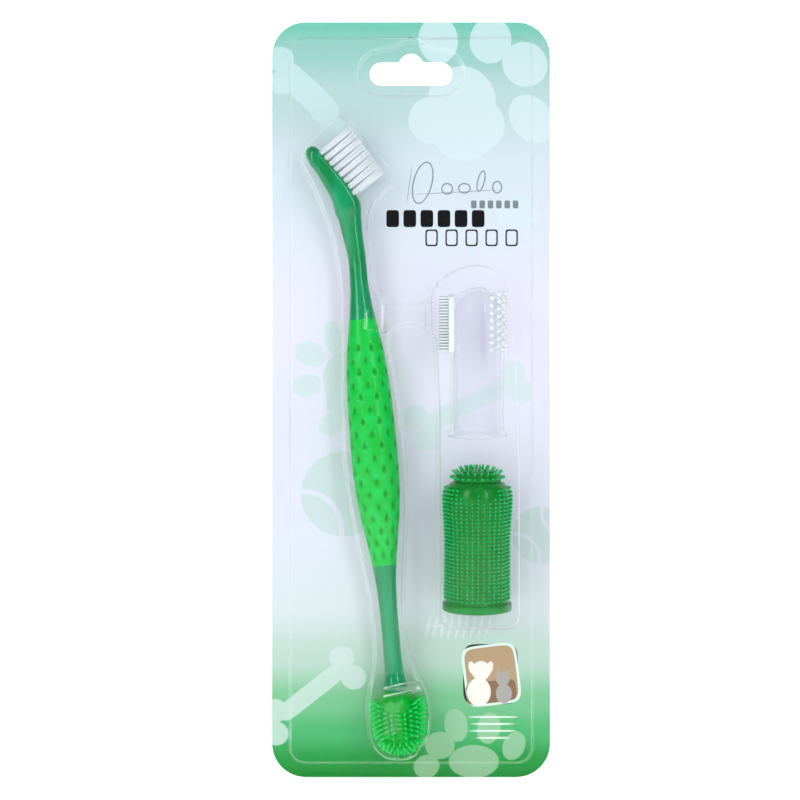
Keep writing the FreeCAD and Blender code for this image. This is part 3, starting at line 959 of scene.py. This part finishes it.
# %% Translucent plastic
def tinted_plastic():
    made, tree = new_material("translucent_green_SAN")
    coords = add(tree, "TexCoord")
    along = add(tree, "Mapping", {
        "Vector": coords.outputs["Object"], "Scale": (220.0, 220.0, 40.0),
        "Rotation": (0, SHAFT_TILT, 0),
    })
    flow = add(tree, "TexNoise", {"Vector": along.outputs[0], "Scale": 1.0, "Detail": 2.0})
    tint = add(tree, "ValToRGB", {"Fac": flow.outputs["Fac"]})
    tint.color_ramp.elements[0].position = 0.35
    tint.color_ramp.elements[0].color = linear("#00894a")
    tint.color_ramp.elements[1].position = 0.7
    tint.color_ramp.elements[1].color = linear("#00a46c")
    relief = add(tree, "Bump", {
        "Height": flow.outputs["Fac"], "Strength": 0.05, "Distance": 0.1 * MM,
    })
    plastic = add(tree, "BsdfPrincipled", {
        "Base Color": tint.outputs["Color"], "Roughness": 0.1, "IOR": 1.55,
        "Specular IOR Level": 0.5, "Transmission Weight": 0.08,
        "Normal": relief.outputs["Normal"],
    })
    set_surface(tree, plastic.outputs[0])
    return made


make_piece(
    handle_stick(), "handle_stick", tinted_plastic(), "double_headed_brush",
    "handle_core",
)

# %% [markdown]
# ## The soft grip
# A brighter green rubber is moulded over the middle of the stick, flush with
# it at both ends. Rows of small drop-shaped dimples, staggered from column to
# column, keep it from slipping. They are real dents: the sleeve has a fine
# grid, and each point near a dimple's centre is pushed in. The same measure
# is kept as an attribute, which the material uses to paint shade into the
# dents as a darker green.

# %% The grip's sleeve
DIMPLE_DEEP, DIMPLE_LONG, DIMPLE_WIDE = 0.5, 2.1, 1.05
DIMPLE_COLUMNS, DIMPLE_PITCH, DIMPLE_AT = 16, 8.65, 62.5
DIMPLE_FIRST, DIMPLE_LAST = 31.0, 106.0


def dimple_share(t, turn, radius):
    """1 in the middle of a dimple, 0 outside it."""
    column = round((math.degrees(turn) + 90) * DIMPLE_COLUMNS / 360)
    stagger = DIMPLE_PITCH / 2 if column % 2 else 0.0
    row = round((t - DIMPLE_AT - stagger) / DIMPLE_PITCH)
    centre = DIMPLE_AT + stagger + row * DIMPLE_PITCH
    if not DIMPLE_FIRST < centre < DIMPLE_LAST:
        return 0.0
    aside = math.radians(math.degrees(turn) + 90 - column * 360 / DIMPLE_COLUMNS) * radius
    wide = DIMPLE_WIDE * (1.0 + 0.35 * (t - centre) / DIMPLE_LONG)
    away = ((t - centre) / DIMPLE_LONG) ** 2 + (aside / wide) ** 2
    return (1 - away) ** 2 if away < 1 else 0.0


def grip_section(t):
    wide, deep = through(SHAFT_STATIONS, t)
    centre = along_shaft(t)

    def at(turn):
        share = dimple_share(t, turn, (wide + deep) / 2)
        out = 1 - DIMPLE_DEEP * share / wide
        return (centre + ACROSS_SHAFT * (wide * out * math.cos(turn))
                + TO_BACK * (deep * out * math.sin(turn)))

    return at


def grip_sleeve():
    bm = bmesh.new()
    outside = ring_sweep(bm, [grip_section(t) for t in steps(GRIP_START, GRIP_END, 236)], 112)
    inside = ring_sweep(
        bm, [shaft_section(t, *through(CORE_STATIONS, t))
             for t in steps(GRIP_START, GRIP_END, 24)], 112,
    )
    for end in (0, -1):
        bmesh.ops.bridge_loops(bm, edges=outside[end] + inside[end])
    bmesh.ops.recalc_face_normals(bm, faces=bm.faces[:])
    # The dent measure is also the mask for the shade painted into the dents.
    dent = bm.verts.layers.float.new("dent")
    for v in bm.verts:
        off = v.co - SHAFT_TOP
        t, side = off.dot(DOWN_SHAFT), off.dot(ACROSS_SHAFT)
        wide, deep = through(SHAFT_STATIONS, t)
        turn = math.atan2(off.y / deep, side / wide)
        v[dent] = dimple_share(t, turn, (wide + deep) / 2)
    sharpen(bm)
    return in_metres(bm)


# %% [markdown]
# ## Soft green rubber
# The grip and the cap are a thermoplastic rubber. It has no clear depth, only
# a little light under the skin, and its moulded skin is satin, so highlights
# are broad. The mottling is a few millimetres across, as the melt's is. Shade
# is painted into the dents as a darker green, and light onto the rod tips as
# a lighter green.

# %% Rubber
def rubber(name, dark, light, painted_dent_shade=None, painted_tip_light=None, roughness=0.3):
    made, tree = new_material(name)
    coords = add(tree, "TexCoord")
    melt = add(tree, "TexNoise", {
        "Vector": coords.outputs["Object"], "Scale": 260.0, "Detail": 3.0,
    })
    skin = add(tree, "TexNoise", {
        "Vector": coords.outputs["Object"], "Scale": 2400.0, "Detail": 2.0,
    })
    tint = add(tree, "ValToRGB", {"Fac": melt.outputs["Fac"]})
    tint.color_ramp.elements[0].position = 0.38
    tint.color_ramp.elements[0].color = linear(dark)
    tint.color_ramp.elements[1].position = 0.64
    tint.color_ramp.elements[1].color = linear(light)
    colour = tint.outputs["Color"]
    # Painted shade and light: the dents are painted a darker green, the rod tips a lighter
    # one.
    for attribute, other in (("dent", painted_dent_shade), ("thin", painted_tip_light)):
        if other:
            marked = add(tree, "Attribute", attribute_name=attribute)
            colour = add(tree, "Mix", {
                0: marked.outputs["Fac"], 6: colour, 7: linear(other),
            }, data_type="RGBA").outputs[2]
    relief = add(tree, "Bump", {
        "Height": skin.outputs["Fac"], "Strength": 0.12, "Distance": 0.03 * MM,
    })
    body = add(tree, "BsdfPrincipled", {
        "Base Color": colour, "Roughness": roughness, "IOR": 1.5,
        "Specular IOR Level": 0.3,
        "Subsurface Weight": 0.15, "Subsurface Radius": (0.2, 1.0, 0.4),
        "Subsurface Scale": 1.2 * MM, "Normal": relief.outputs["Normal"],
    })
    set_surface(tree, body.outputs[0])
    return made


# The darker green given for the dents is painted shade.
grip_rubber = rubber(
    "overmoulded_green_rubber", "#00bd38", "#00cb52", painted_dent_shade="#008a0c", roughness=0.26
)
make_piece(
    grip_sleeve(), "grip_sleeve", grip_rubber, "double_headed_brush", "soft_grip",
)

# %% [markdown]
# ## Tufts
# Each tuft is a folded bundle of nylon filaments, stapled into its hole. The
# filaments leave the hole packed and spread a little towards their tips. Each
# is its own thin four-sided rod, a fifth of a millimetre thick, so the tips
# are ragged as real ones are, and the gaps between rows stay open.

# %% Rods on a surface
def add_rods(bm, rods, foot_radius, tip_radius, sides):
    """A rod for each foot, way and length, with a rounded tip marked as thin, where the
    rubbers paint light.
    """
    thin = bm.verts.layers.float.get("thin") or bm.verts.layers.float.new("thin")
    tips = []
    for foot, way, length in rods:
        turned_to = way.to_track_quat("Z", "Y").to_matrix().to_4x4()
        place = Matrix.Translation(foot + way * (length / 2)) @ turned_to
        corners = bmesh.ops.create_cone(
            bm, cap_ends=True, segments=sides, radius1=foot_radius, radius2=tip_radius,
            depth=length, matrix=place,
        )["verts"]
        faces = {f for v in corners for f in v.link_faces}
        tips.append(max(faces, key=lambda f: (f.calc_center_median() - foot).dot(way)))
        for v in tips[-1].verts:
            v[thin] = 1.0
    bmesh.ops.inset_individual(
        bm, faces=tips, thickness=tip_radius * 0.45, depth=tip_radius * 0.5
    )
    return bm


# %% Filaments
TUFT_ROWS, TUFT_COLUMNS = 8, 4
TUFT_FIRST, TUFT_PITCH, TUFT_ACROSS = 4.7, 2.6, 2.15
TUFT_LONG, TUFT_SHORT, TUFT_BURIED = 12.6, 11.2, 2.2
TUFT_FOOT_RADIUS, TUFT_SPREAD = 0.86, 0.4
HEAD_HALF_FACE = 2.9
FILAMENTS = 34


def filament_rods(random):
    rods = []
    golden = math.pi * (3 - math.sqrt(5))
    for row in range(TUFT_ROWS):
        free = TUFT_LONG + (TUFT_SHORT - TUFT_LONG) * row / (TUFT_ROWS - 1)
        for column in range(TUFT_COLUMNS):
            foot = along_head(TUFT_FIRST + TUFT_PITCH * row, HEAD_HALF_FACE - TUFT_BURIED)
            foot = foot + TO_BACK * (TUFT_ACROSS * (column - (TUFT_COLUMNS - 1) / 2))
            for i in range(FILAMENTS):
                out = math.sqrt((i + 0.5) / FILAMENTS)
                a = golden * i + random.uniform(-0.2, 0.2)
                aside = DOWN_HEAD * (out * math.cos(a)) + TO_BACK * (out * math.sin(a))
                length = free + TUFT_BURIED + random.uniform(-0.2, 0.9)
                way = BRISTLE_WAY * length + aside * TUFT_SPREAD * random.uniform(0.6, 1.3)
                rods.append((foot + aside * TUFT_FOOT_RADIUS, way.normalized(), length))
    return rods


def tuft_filaments():
    bm = bmesh.new()
    add_rods(bm, filament_rods(Random(7)), 0.11, 0.1, 4)
    return in_metres(bm)


# %% [markdown]
# ## Nylon and brass
# Nylon filament is drawn through a die and left milky, so it is white with a
# soft gloss along its length, and passes some light. The staples are flat
# drawn brass wire, hidden in the holes and seen only faintly, through the
# green plastic.

# %% Nylon
def nylon():
    made, tree = new_material("drawn_white_nylon_filament")
    coords = add(tree, "TexCoord")
    batch = add(tree, "TexNoise", {"Vector": coords.outputs["Object"], "Scale": 900.0})
    tint = add(tree, "ValToRGB", {"Fac": batch.outputs["Fac"]})
    tint.color_ramp.elements[0].color = linear("#dfeaf0")
    tint.color_ramp.elements[1].color = linear("#fbfdff")
    # The faint emission is painted light: the white filaments glow a little, as if lit
    # through.
    filament = add(tree, "BsdfPrincipled", {
        "Base Color": tint.outputs["Color"], "Roughness": 0.35, "IOR": 1.53,
        "Transmission Weight": 0.12, "Emission Color": linear("#e9f3f7"),
        "Emission Strength": 0.1,
    })
    set_surface(tree, filament.outputs[0])
    return made


def brass():
    made, tree = new_material("drawn_brass_wire")
    coords = add(tree, "TexCoord")
    lines = add(tree, "Mapping", {
        "Vector": coords.outputs["Object"], "Scale": (4000.0, 400.0, 4000.0),
    })
    die = add(tree, "TexNoise", {"Vector": lines.outputs[0], "Scale": 1.0})
    worn = add(tree, "MapRange", {"Value": die.outputs["Fac"], "To Min": 0.2, "To Max": 0.4})
    wire = add(tree, "BsdfPrincipled", {
        "Base Color": linear("#d6b25e"), "Metallic": 1.0, "Roughness": worn.outputs[0],
    })
    set_surface(tree, wire.outputs[0])
    return made


make_piece(
    tuft_filaments(), "tuft_filaments", nylon(), "double_headed_brush", "bristle_tufts",
)
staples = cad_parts["tuft_anchors"]
staples.data.materials.clear()
staples.data.materials.append(brass())
print(TUFT_ROWS * TUFT_COLUMNS, "tufts")

# %% [markdown]
# ## The rubber cap
# The other end wears a cap of soft rubber rods that massage the gums. It is
# one moulding: a turned body with a smooth shoulder at the front, and columns
# of short rods that lean up at the top, stand straight out in the middle and
# turn down round the end. Rods are made one by one on the body's surface, so
# they follow it exactly.

# %% Turned bodies
def turned(bm, profile, place, segments):
    """A profile of radius and height pairs, spun about the piece's own axis."""

    def section(radius, height):
        return lambda a: place(Vector((radius * math.cos(a), radius * math.sin(a), height)))

    return ring_sweep(bm, [section(r, h) for r, h in profile], segments)


def dome(radius, foot, top, count=12, last=4.0):
    """Radius and height pairs of a quarter ellipse that stops short of its axis."""
    pairs = []
    for turn in steps(0.0, 90.0 - last, count):
        a = math.radians(turn)
        pairs.append((radius * math.cos(a), foot + (top - foot) * math.sin(a)))
    return pairs


CAP_PROFILE = [
    (SPIGOT_RADIUS, 0.0), (4.25, 0.0), (4.42, 0.12), (4.45, 0.45), (4.75, 0.95),
    (5.6, 1.35), (6.5, 2.1), (7.1, 3.2), (7.3, 4.6), (7.2, 7.0), (7.0, 10.0),
    (6.75, 13.0), (6.5, 15.5),
]
CAP_RADIUS_AT = [(h, r) for r, h in CAP_PROFILE[4:]]
CAP_DOME = dome(6.5, 15.5, 20.6)
CAP_COLUMNS, CAP_ROD, CAP_PITCH = 24, 2.7, 1.45
CAP_FIRST, CAP_LAST = 4.2, 15.6


def in_cap(p):
    return (SHAFT_TOP + ACROSS_SHAFT * p.x + TO_BACK * p.y
            + DOWN_SHAFT * (SHAFT_LENGTH + p.z))


def cap_rods():
    """Columns of rods round the side, then rings of them round the end."""
    rods = []
    for column in range(CAP_COLUMNS):
        angle = 360 / CAP_COLUMNS * column - 90
        from_front = min(column, CAP_COLUMNS - column) * 360 / CAP_COLUMNS
        if from_front < 1:
            continue
        a = math.radians(angle)
        t = CAP_FIRST + (CAP_PITCH / 2 if column % 2 else 0.0)
        if from_front < 40:
            t += CAP_PITCH * 2
        while t < CAP_LAST:
            radius = through(CAP_RADIUS_AT, t)[0]
            lean = math.radians(-24 + 44 * (t - CAP_FIRST) / (CAP_LAST - CAP_FIRST))
            out = Vector((math.cos(a), math.sin(a), 0))
            way = out * math.cos(lean) + Vector((0, 0, math.sin(lean)))
            foot = out * (radius - 0.25) + Vector((0, 0, t))
            rods.append((foot, way, CAP_ROD + 0.25))
            t += CAP_PITCH
    for ring, (share, count) in enumerate([(0.22, 22), (0.42, 18), (0.62, 12), (0.82, 6)]):
        round_end = math.radians(90 * share)
        radius = 6.5 * math.cos(round_end)
        height = 15.5 + 5.1 * math.sin(round_end)
        lean = math.radians(24 + 66 * share)
        for i in range(count):
            a = 2 * math.pi * (i + 0.5 * (ring % 2)) / count - math.pi / 2
            out = Vector((math.cos(a), math.sin(a), 0))
            way = out * math.cos(lean) + Vector((0, 0, math.sin(lean)))
            rods.append((out * radius + Vector((0, 0, height - 0.3)), way, CAP_ROD - 0.1))
    return rods


def rubber_cap():
    bm = bmesh.new()
    hollow = [(SPIGOT_RADIUS, SPIGOT_LENGTH), *CAP_PROFILE]
    ends = turned(bm, hollow + CAP_DOME[1:], in_cap, 56)
    close_ends(bm, ends)
    placed = []
    for foot, way, length in cap_rods():
        start, end = in_cap(foot), in_cap(foot + way * length)
        placed.append((start, (end - start).normalized(), length))
    add_rods(bm, placed, 0.6, 0.44, 6)
    sharpen(bm, 50)
    return in_metres(bm)


# The lighter green on the rod tips is painted light.
cap_rubber = rubber(
    "moulded_green_cap_rubber", "#00aa2c", "#00b638", painted_tip_light="#10dc60", roughness=0.2
)
make_piece(
    rubber_cap(), "rubber_cap", cap_rubber, "double_headed_brush", "scrubber_head",
)
print(len(cap_rods()), "rods on the cap")

# %% [markdown]
# ## The finger brushes
# Both are liquid silicone mouldings that slip over a fingertip: a thin tube
# with a rolled rim and a closed dome. Each is made upright, with its rim on
# the origin, as one closed shell of inner and outer wall, and then leans
# forward into its pocket, as the blister's shape makes it. A cup with no
# thickness would look wrong through its own clear wall.

# %% Standing the finger brushes up
FINGER_LEAN = math.radians(5.0)
REST = 0.8  # the card and a gap behind each rim


def finger_place(x, z, rim):
    return Matrix.Translation((x, -REST - rim, z)) @ Matrix.Rotation(FINGER_LEAN, 4, "X")


def finger_shell(bm, inner, outer, place):
    """Up the inner wall from its dome, round the rim, and up the outer wall."""
    loops = turned(bm, list(reversed(inner)) + outer, lambda p: place @ p, 96)
    close_ends(bm, loops)


def placed_rods(rods, place):
    turn = place.to_3x3()
    return [(place @ foot, (turn @ way).normalized(), length) for foot, way, length in rods]


def around(angle, radius, height):
    a = math.radians(angle)
    return Vector((radius * math.cos(a), radius * math.sin(a), height))


def leaning(angle, lean):
    return around(angle, math.cos(math.radians(lean)), math.sin(math.radians(lean)))


green_at = finger_place(23.3, -198.7, 12.3)
clear_at = finger_place(23.4, -137.6, 10.7)
print("green rim's middle:", [round(c, 1) for c in green_at.translation])

# %% The green finger brush
GREEN_INNER = [(8.7, 0.0), (8.45, 0.3), (8.4, 1.0), (8.4, 20.0), (8.2, 38.0)]
GREEN_OUTER = [
    (11.9, 0.0), (12.2, 0.12), (12.3, 0.45), (12.3, 2.25), (12.2, 2.6), (11.85, 2.8),
    (11.3, 2.95), (11.0, 3.3), (10.9, 3.8), (10.85, 12.0), (10.8, 20.0), (10.85, 26.0),
    (11.1, 31.0), (11.45, 35.5), (11.6, 39.0), (11.55, 41.0), (11.25, 42.6),
    (10.6, 44.0), (9.6, 45.1), (8.5, 45.7), (8.0, 45.85),
]
GREEN_CROWN = [
    (7.95, 46.0), (8.35, 46.15), (8.5, 46.5), (8.4, 47.1), (7.95, 47.8), (6.9, 48.6),
    (5.2, 49.4), (3.2, 50.0), (1.6, 50.25), (0.5, 50.3),
]
NUB_COLUMNS, NUB_PITCH, NUB_FIRST, NUB_LENGTH = 37, 1.34, 4.3, 0.85
NUB_TOP_FRONT, NUB_TOP_MIDDLE, NUB_TOP_SIDE = 39.4, 42.0, 43.9
# radius, height, lean, rods and their length in each ring of the crown
CROWN_RINGS = [
    (8.2, 47.0, 12, 26, 1.6), (7.3, 48.2, 40, 22, 2.0), (5.6, 49.2, 62, 17, 1.7),
    (3.6, 49.9, 74, 11, 1.4), (1.7, 50.2, 84, 6, 1.2),
]


def shell_normal(profile, height):
    """Radius and outward lean in degrees of a profile at a height."""
    by_height = [(h, r) for r, h in profile]
    radius = through(by_height, height)[0]
    above = through(by_height, height + 0.2)[0]
    return radius, math.degrees(math.atan2(radius - above, 0.2))


def green_nubs():
    """Columns of nubs; the front of the shoulder is left smooth."""
    rods = []
    wall = GREEN_OUTER[8:19]
    for column in range(NUB_COLUMNS):
        angle = 360 * column / NUB_COLUMNS - 90
        from_front = min(column, NUB_COLUMNS - column) * 360 / NUB_COLUMNS
        top = NUB_TOP_SIDE
        if from_front < 35:
            top = NUB_TOP_FRONT + 1.2 * (from_front > 22)
        if column == 0:
            top = NUB_TOP_MIDDLE
        height = NUB_FIRST
        while height < top:
            radius, lean = shell_normal(wall, height)
            foot = around(angle, radius, height)
            way = leaning(angle, lean)
            rods.append((foot - way * 0.25, way, NUB_LENGTH + 0.25))
            height += NUB_PITCH
    return rods


def crown_rods():
    rods = []
    for radius, height, lean, count, length in CROWN_RINGS:
        for i in range(count):
            angle = 360 * (i + 0.5) / count - 90
            way = leaning(angle, lean)
            rods.append((around(angle, radius, height) - way * 0.3, way, length + 0.3))
    return rods


def green_brush():
    bm = bmesh.new()
    inner = GREEN_INNER + dome(8.2, 38.0, 45.4)[1:]
    finger_shell(bm, inner, GREEN_OUTER + GREEN_CROWN, green_at)
    add_rods(bm, placed_rods(green_nubs(), green_at), 0.45, 0.32, 5)
    add_rods(bm, placed_rods(crown_rods(), green_at), 0.4, 0.3, 6)
    sharpen(bm, 50)
    return in_metres(bm)


# The lighter green on the nub and crown rod tips is painted light.
green_silicone = rubber(
    "moulded_green_silicone", "#007f22", "#008c30", painted_tip_light="#1cc870", roughness=0.14
)
make_piece(
    green_brush(), "green_silicone_brush", green_silicone, "green_finger",
    "green_finger_brush",
)
print(len(green_nubs()), "nubs and", len(crown_rods()), "crown rods")

# %% [markdown]
# ## The clear finger brush
# The clear one has a pad of fine bristles down one side of its tip and rows
# of round massage nubs down the other. The tube, which is polished, is one
# piece; the bristles and nubs are another, because their skin is frosted and
# scatters light.

# %% The clear tube
CLEAR_INNER = [(8.7, 0.0), (8.4, 0.3), (8.3, 1.0), (8.3, 44.0)]
CLEAR_OUTER = [
    (10.3, 0.0), (10.6, 0.12), (10.7, 0.45), (10.7, 2.1), (10.55, 2.45), (10.15, 2.65),
    (9.8, 2.85), (9.6, 3.25), (9.55, 4.0), (9.6, 12.0), (9.7, 30.0), (9.8, 44.0),
]
KNOB_ROWS, KNOB_PITCH, KNOB_FIRST = 8, 2.6, 31.5
KNOB_ANGLES = (-62, -44, -26, -8, 10, 28, 46)


def massage_knobs(bm):
    for row in range(KNOB_ROWS):
        for i, angle in enumerate(KNOB_ANGLES):
            height = KNOB_FIRST + KNOB_PITCH * (row + 0.5 * (i % 2))
            made = bmesh.ops.create_icosphere(
                bm, subdivisions=2, radius=0.85,
                matrix=Matrix.Translation(around(angle, 9.85, height)),
            )["verts"]
            bmesh.ops.transform(bm, matrix=clear_at, verts=made)


def clear_tube():
    bm = bmesh.new()
    inner = CLEAR_INNER + dome(8.3, 44.0, 51.8, 16)[1:]
    outer = CLEAR_OUTER + dome(9.8, 44.0, 53.4, 20)[1:]
    finger_shell(bm, inner, outer, clear_at)
    return in_metres(bm)


# %% The bristle pad
PAD_LOW, PAD_HIGH, PAD_HALF = 30.0, 50.4, 4.5
PAD_FACE, PAD_TIP = -10.3, -13.6
BRISTLE_ROWS, BRISTLE_COLUMNS = 19, 7


def bristle_pad():
    bm = bmesh.new()
    size = Vector((2.0, 2 * PAD_HALF, PAD_HIGH - PAD_LOW))
    slab = bmesh.ops.create_cube(bm, size=1.0)["verts"]
    bmesh.ops.scale(bm, vec=size, verts=slab)
    bmesh.ops.translate(
        bm, vec=(PAD_FACE + size.x / 2, 0, (PAD_LOW + PAD_HIGH) / 2), verts=slab
    )
    corners = [e for e in bm.edges if abs(e.verts[0].co.x - e.verts[1].co.x) > 1]
    bmesh.ops.bevel(bm, geom=corners, offset=1.6, segments=6, profile=0.5,
                    affect="EDGES", material=-1)
    rim = [e for e in bm.edges if all(v.co.x < PAD_FACE + 0.01 for v in e.verts)]
    bmesh.ops.bevel(bm, geom=rim, offset=0.3, segments=2, profile=0.5,
                    affect="EDGES", material=-1)
    bmesh.ops.transform(bm, matrix=clear_at, verts=bm.verts[:])
    rods = []
    for height in steps(PAD_LOW + 0.9, PAD_HIGH - 0.9, BRISTLE_ROWS):
        for y in steps(-PAD_HALF + 0.8, PAD_HALF - 0.8, BRISTLE_COLUMNS):
            foot = Vector((PAD_FACE + 0.2, y, height))
            rods.append((foot, Vector((-1, 0, 0)), PAD_FACE + 0.2 - PAD_TIP))
    add_rods(bm, placed_rods(rods, clear_at), 0.34, 0.24, 6)
    massage_knobs(bm)
    sharpen(bm, 50)
    return in_metres(bm)


# %% [markdown]
# ## Clear silicone
# Liquid silicone cures clear with a touch of milk in it. Face on it is almost
# invisible, and where the line of sight runs along the wall it goes white. So
# the clear shader is mixed with a milky one and with a polished one by how far
# the surface turns away.

# %% Clear and frosted silicone
def clear_silicone():
    made, tree = new_material("moulded_clear_silicone")
    coords = add(tree, "TexCoord")
    wave = add(tree, "TexNoise", {
        "Vector": coords.outputs["Object"], "Scale": 120.0, "Detail": 2.0,
    })
    relief = add(tree, "Bump", {
        "Height": wave.outputs["Fac"], "Strength": 0.3, "Distance": 0.5 * MM,
    })
    turn = add(tree, "LayerWeight", {"Blend": 0.5, "Normal": relief.outputs["Normal"]})
    steep = add(tree, "Math", {0: turn.outputs["Facing"], 1: 4.0}, operation="POWER")
    milk = add(tree, "Math", {0: steep.outputs[0], 1: 0.8, 2: 0.014},
               operation="MULTIPLY_ADD", use_clamp=True)
    shine = add(tree, "Math", {0: steep.outputs[0], 1: 0.7, 2: 0.014},
                operation="MULTIPLY_ADD", use_clamp=True)
    clear = add(tree, "BsdfTransparent", {"Color": linear("#fdfdfe")})
    cloud = add(tree, "BsdfPrincipled", {
        "Base Color": linear("#e9f1f5"), "Roughness": 0.3,
        "Normal": relief.outputs["Normal"],
    })
    polish = add(tree, "BsdfPrincipled", {
        "Base Color": linear("#ffffff"), "Metallic": 1.0, "Roughness": 0.07,
        "Normal": relief.outputs["Normal"],
    })
    body = add(tree, "MixShader", {0: milk.outputs[0], 1: clear.outputs[0],
                                   2: cloud.outputs[0]})
    whole = add(tree, "MixShader", {0: shine.outputs[0], 1: body.outputs[0],
                                    2: polish.outputs[0]})
    set_surface(tree, whole.outputs[0])
    return made


def frosted_silicone():
    made, tree = new_material("frosted_clear_silicone")
    coords = add(tree, "TexCoord")
    frost = add(tree, "TexNoise", {"Vector": coords.outputs["Object"], "Scale": 1500.0})
    tint = add(tree, "ValToRGB", {"Fac": frost.outputs["Fac"]})
    tint.color_ramp.elements[0].color = linear("#e0eaf0")
    tint.color_ramp.elements[1].color = linear("#f6fafc")
    skin = add(tree, "BsdfPrincipled", {
        "Base Color": tint.outputs["Color"], "Roughness": 0.24, "IOR": 1.41,
        "Transmission Weight": 0.1, "Subsurface Weight": 0.3,
        "Subsurface Radius": (1.0, 1.0, 1.0), "Subsurface Scale": 1.0 * MM,
    })
    set_surface(tree, skin.outputs[0])
    return made


tube = make_piece(
    clear_tube(), "clear_silicone_tube", clear_silicone(), "clear_finger",
    "clear_finger_brush",
)
let_light_through(tube)
make_piece(
    bristle_pad(), "silicone_bristle_pad", frosted_silicone(), "clear_finger", None,
)
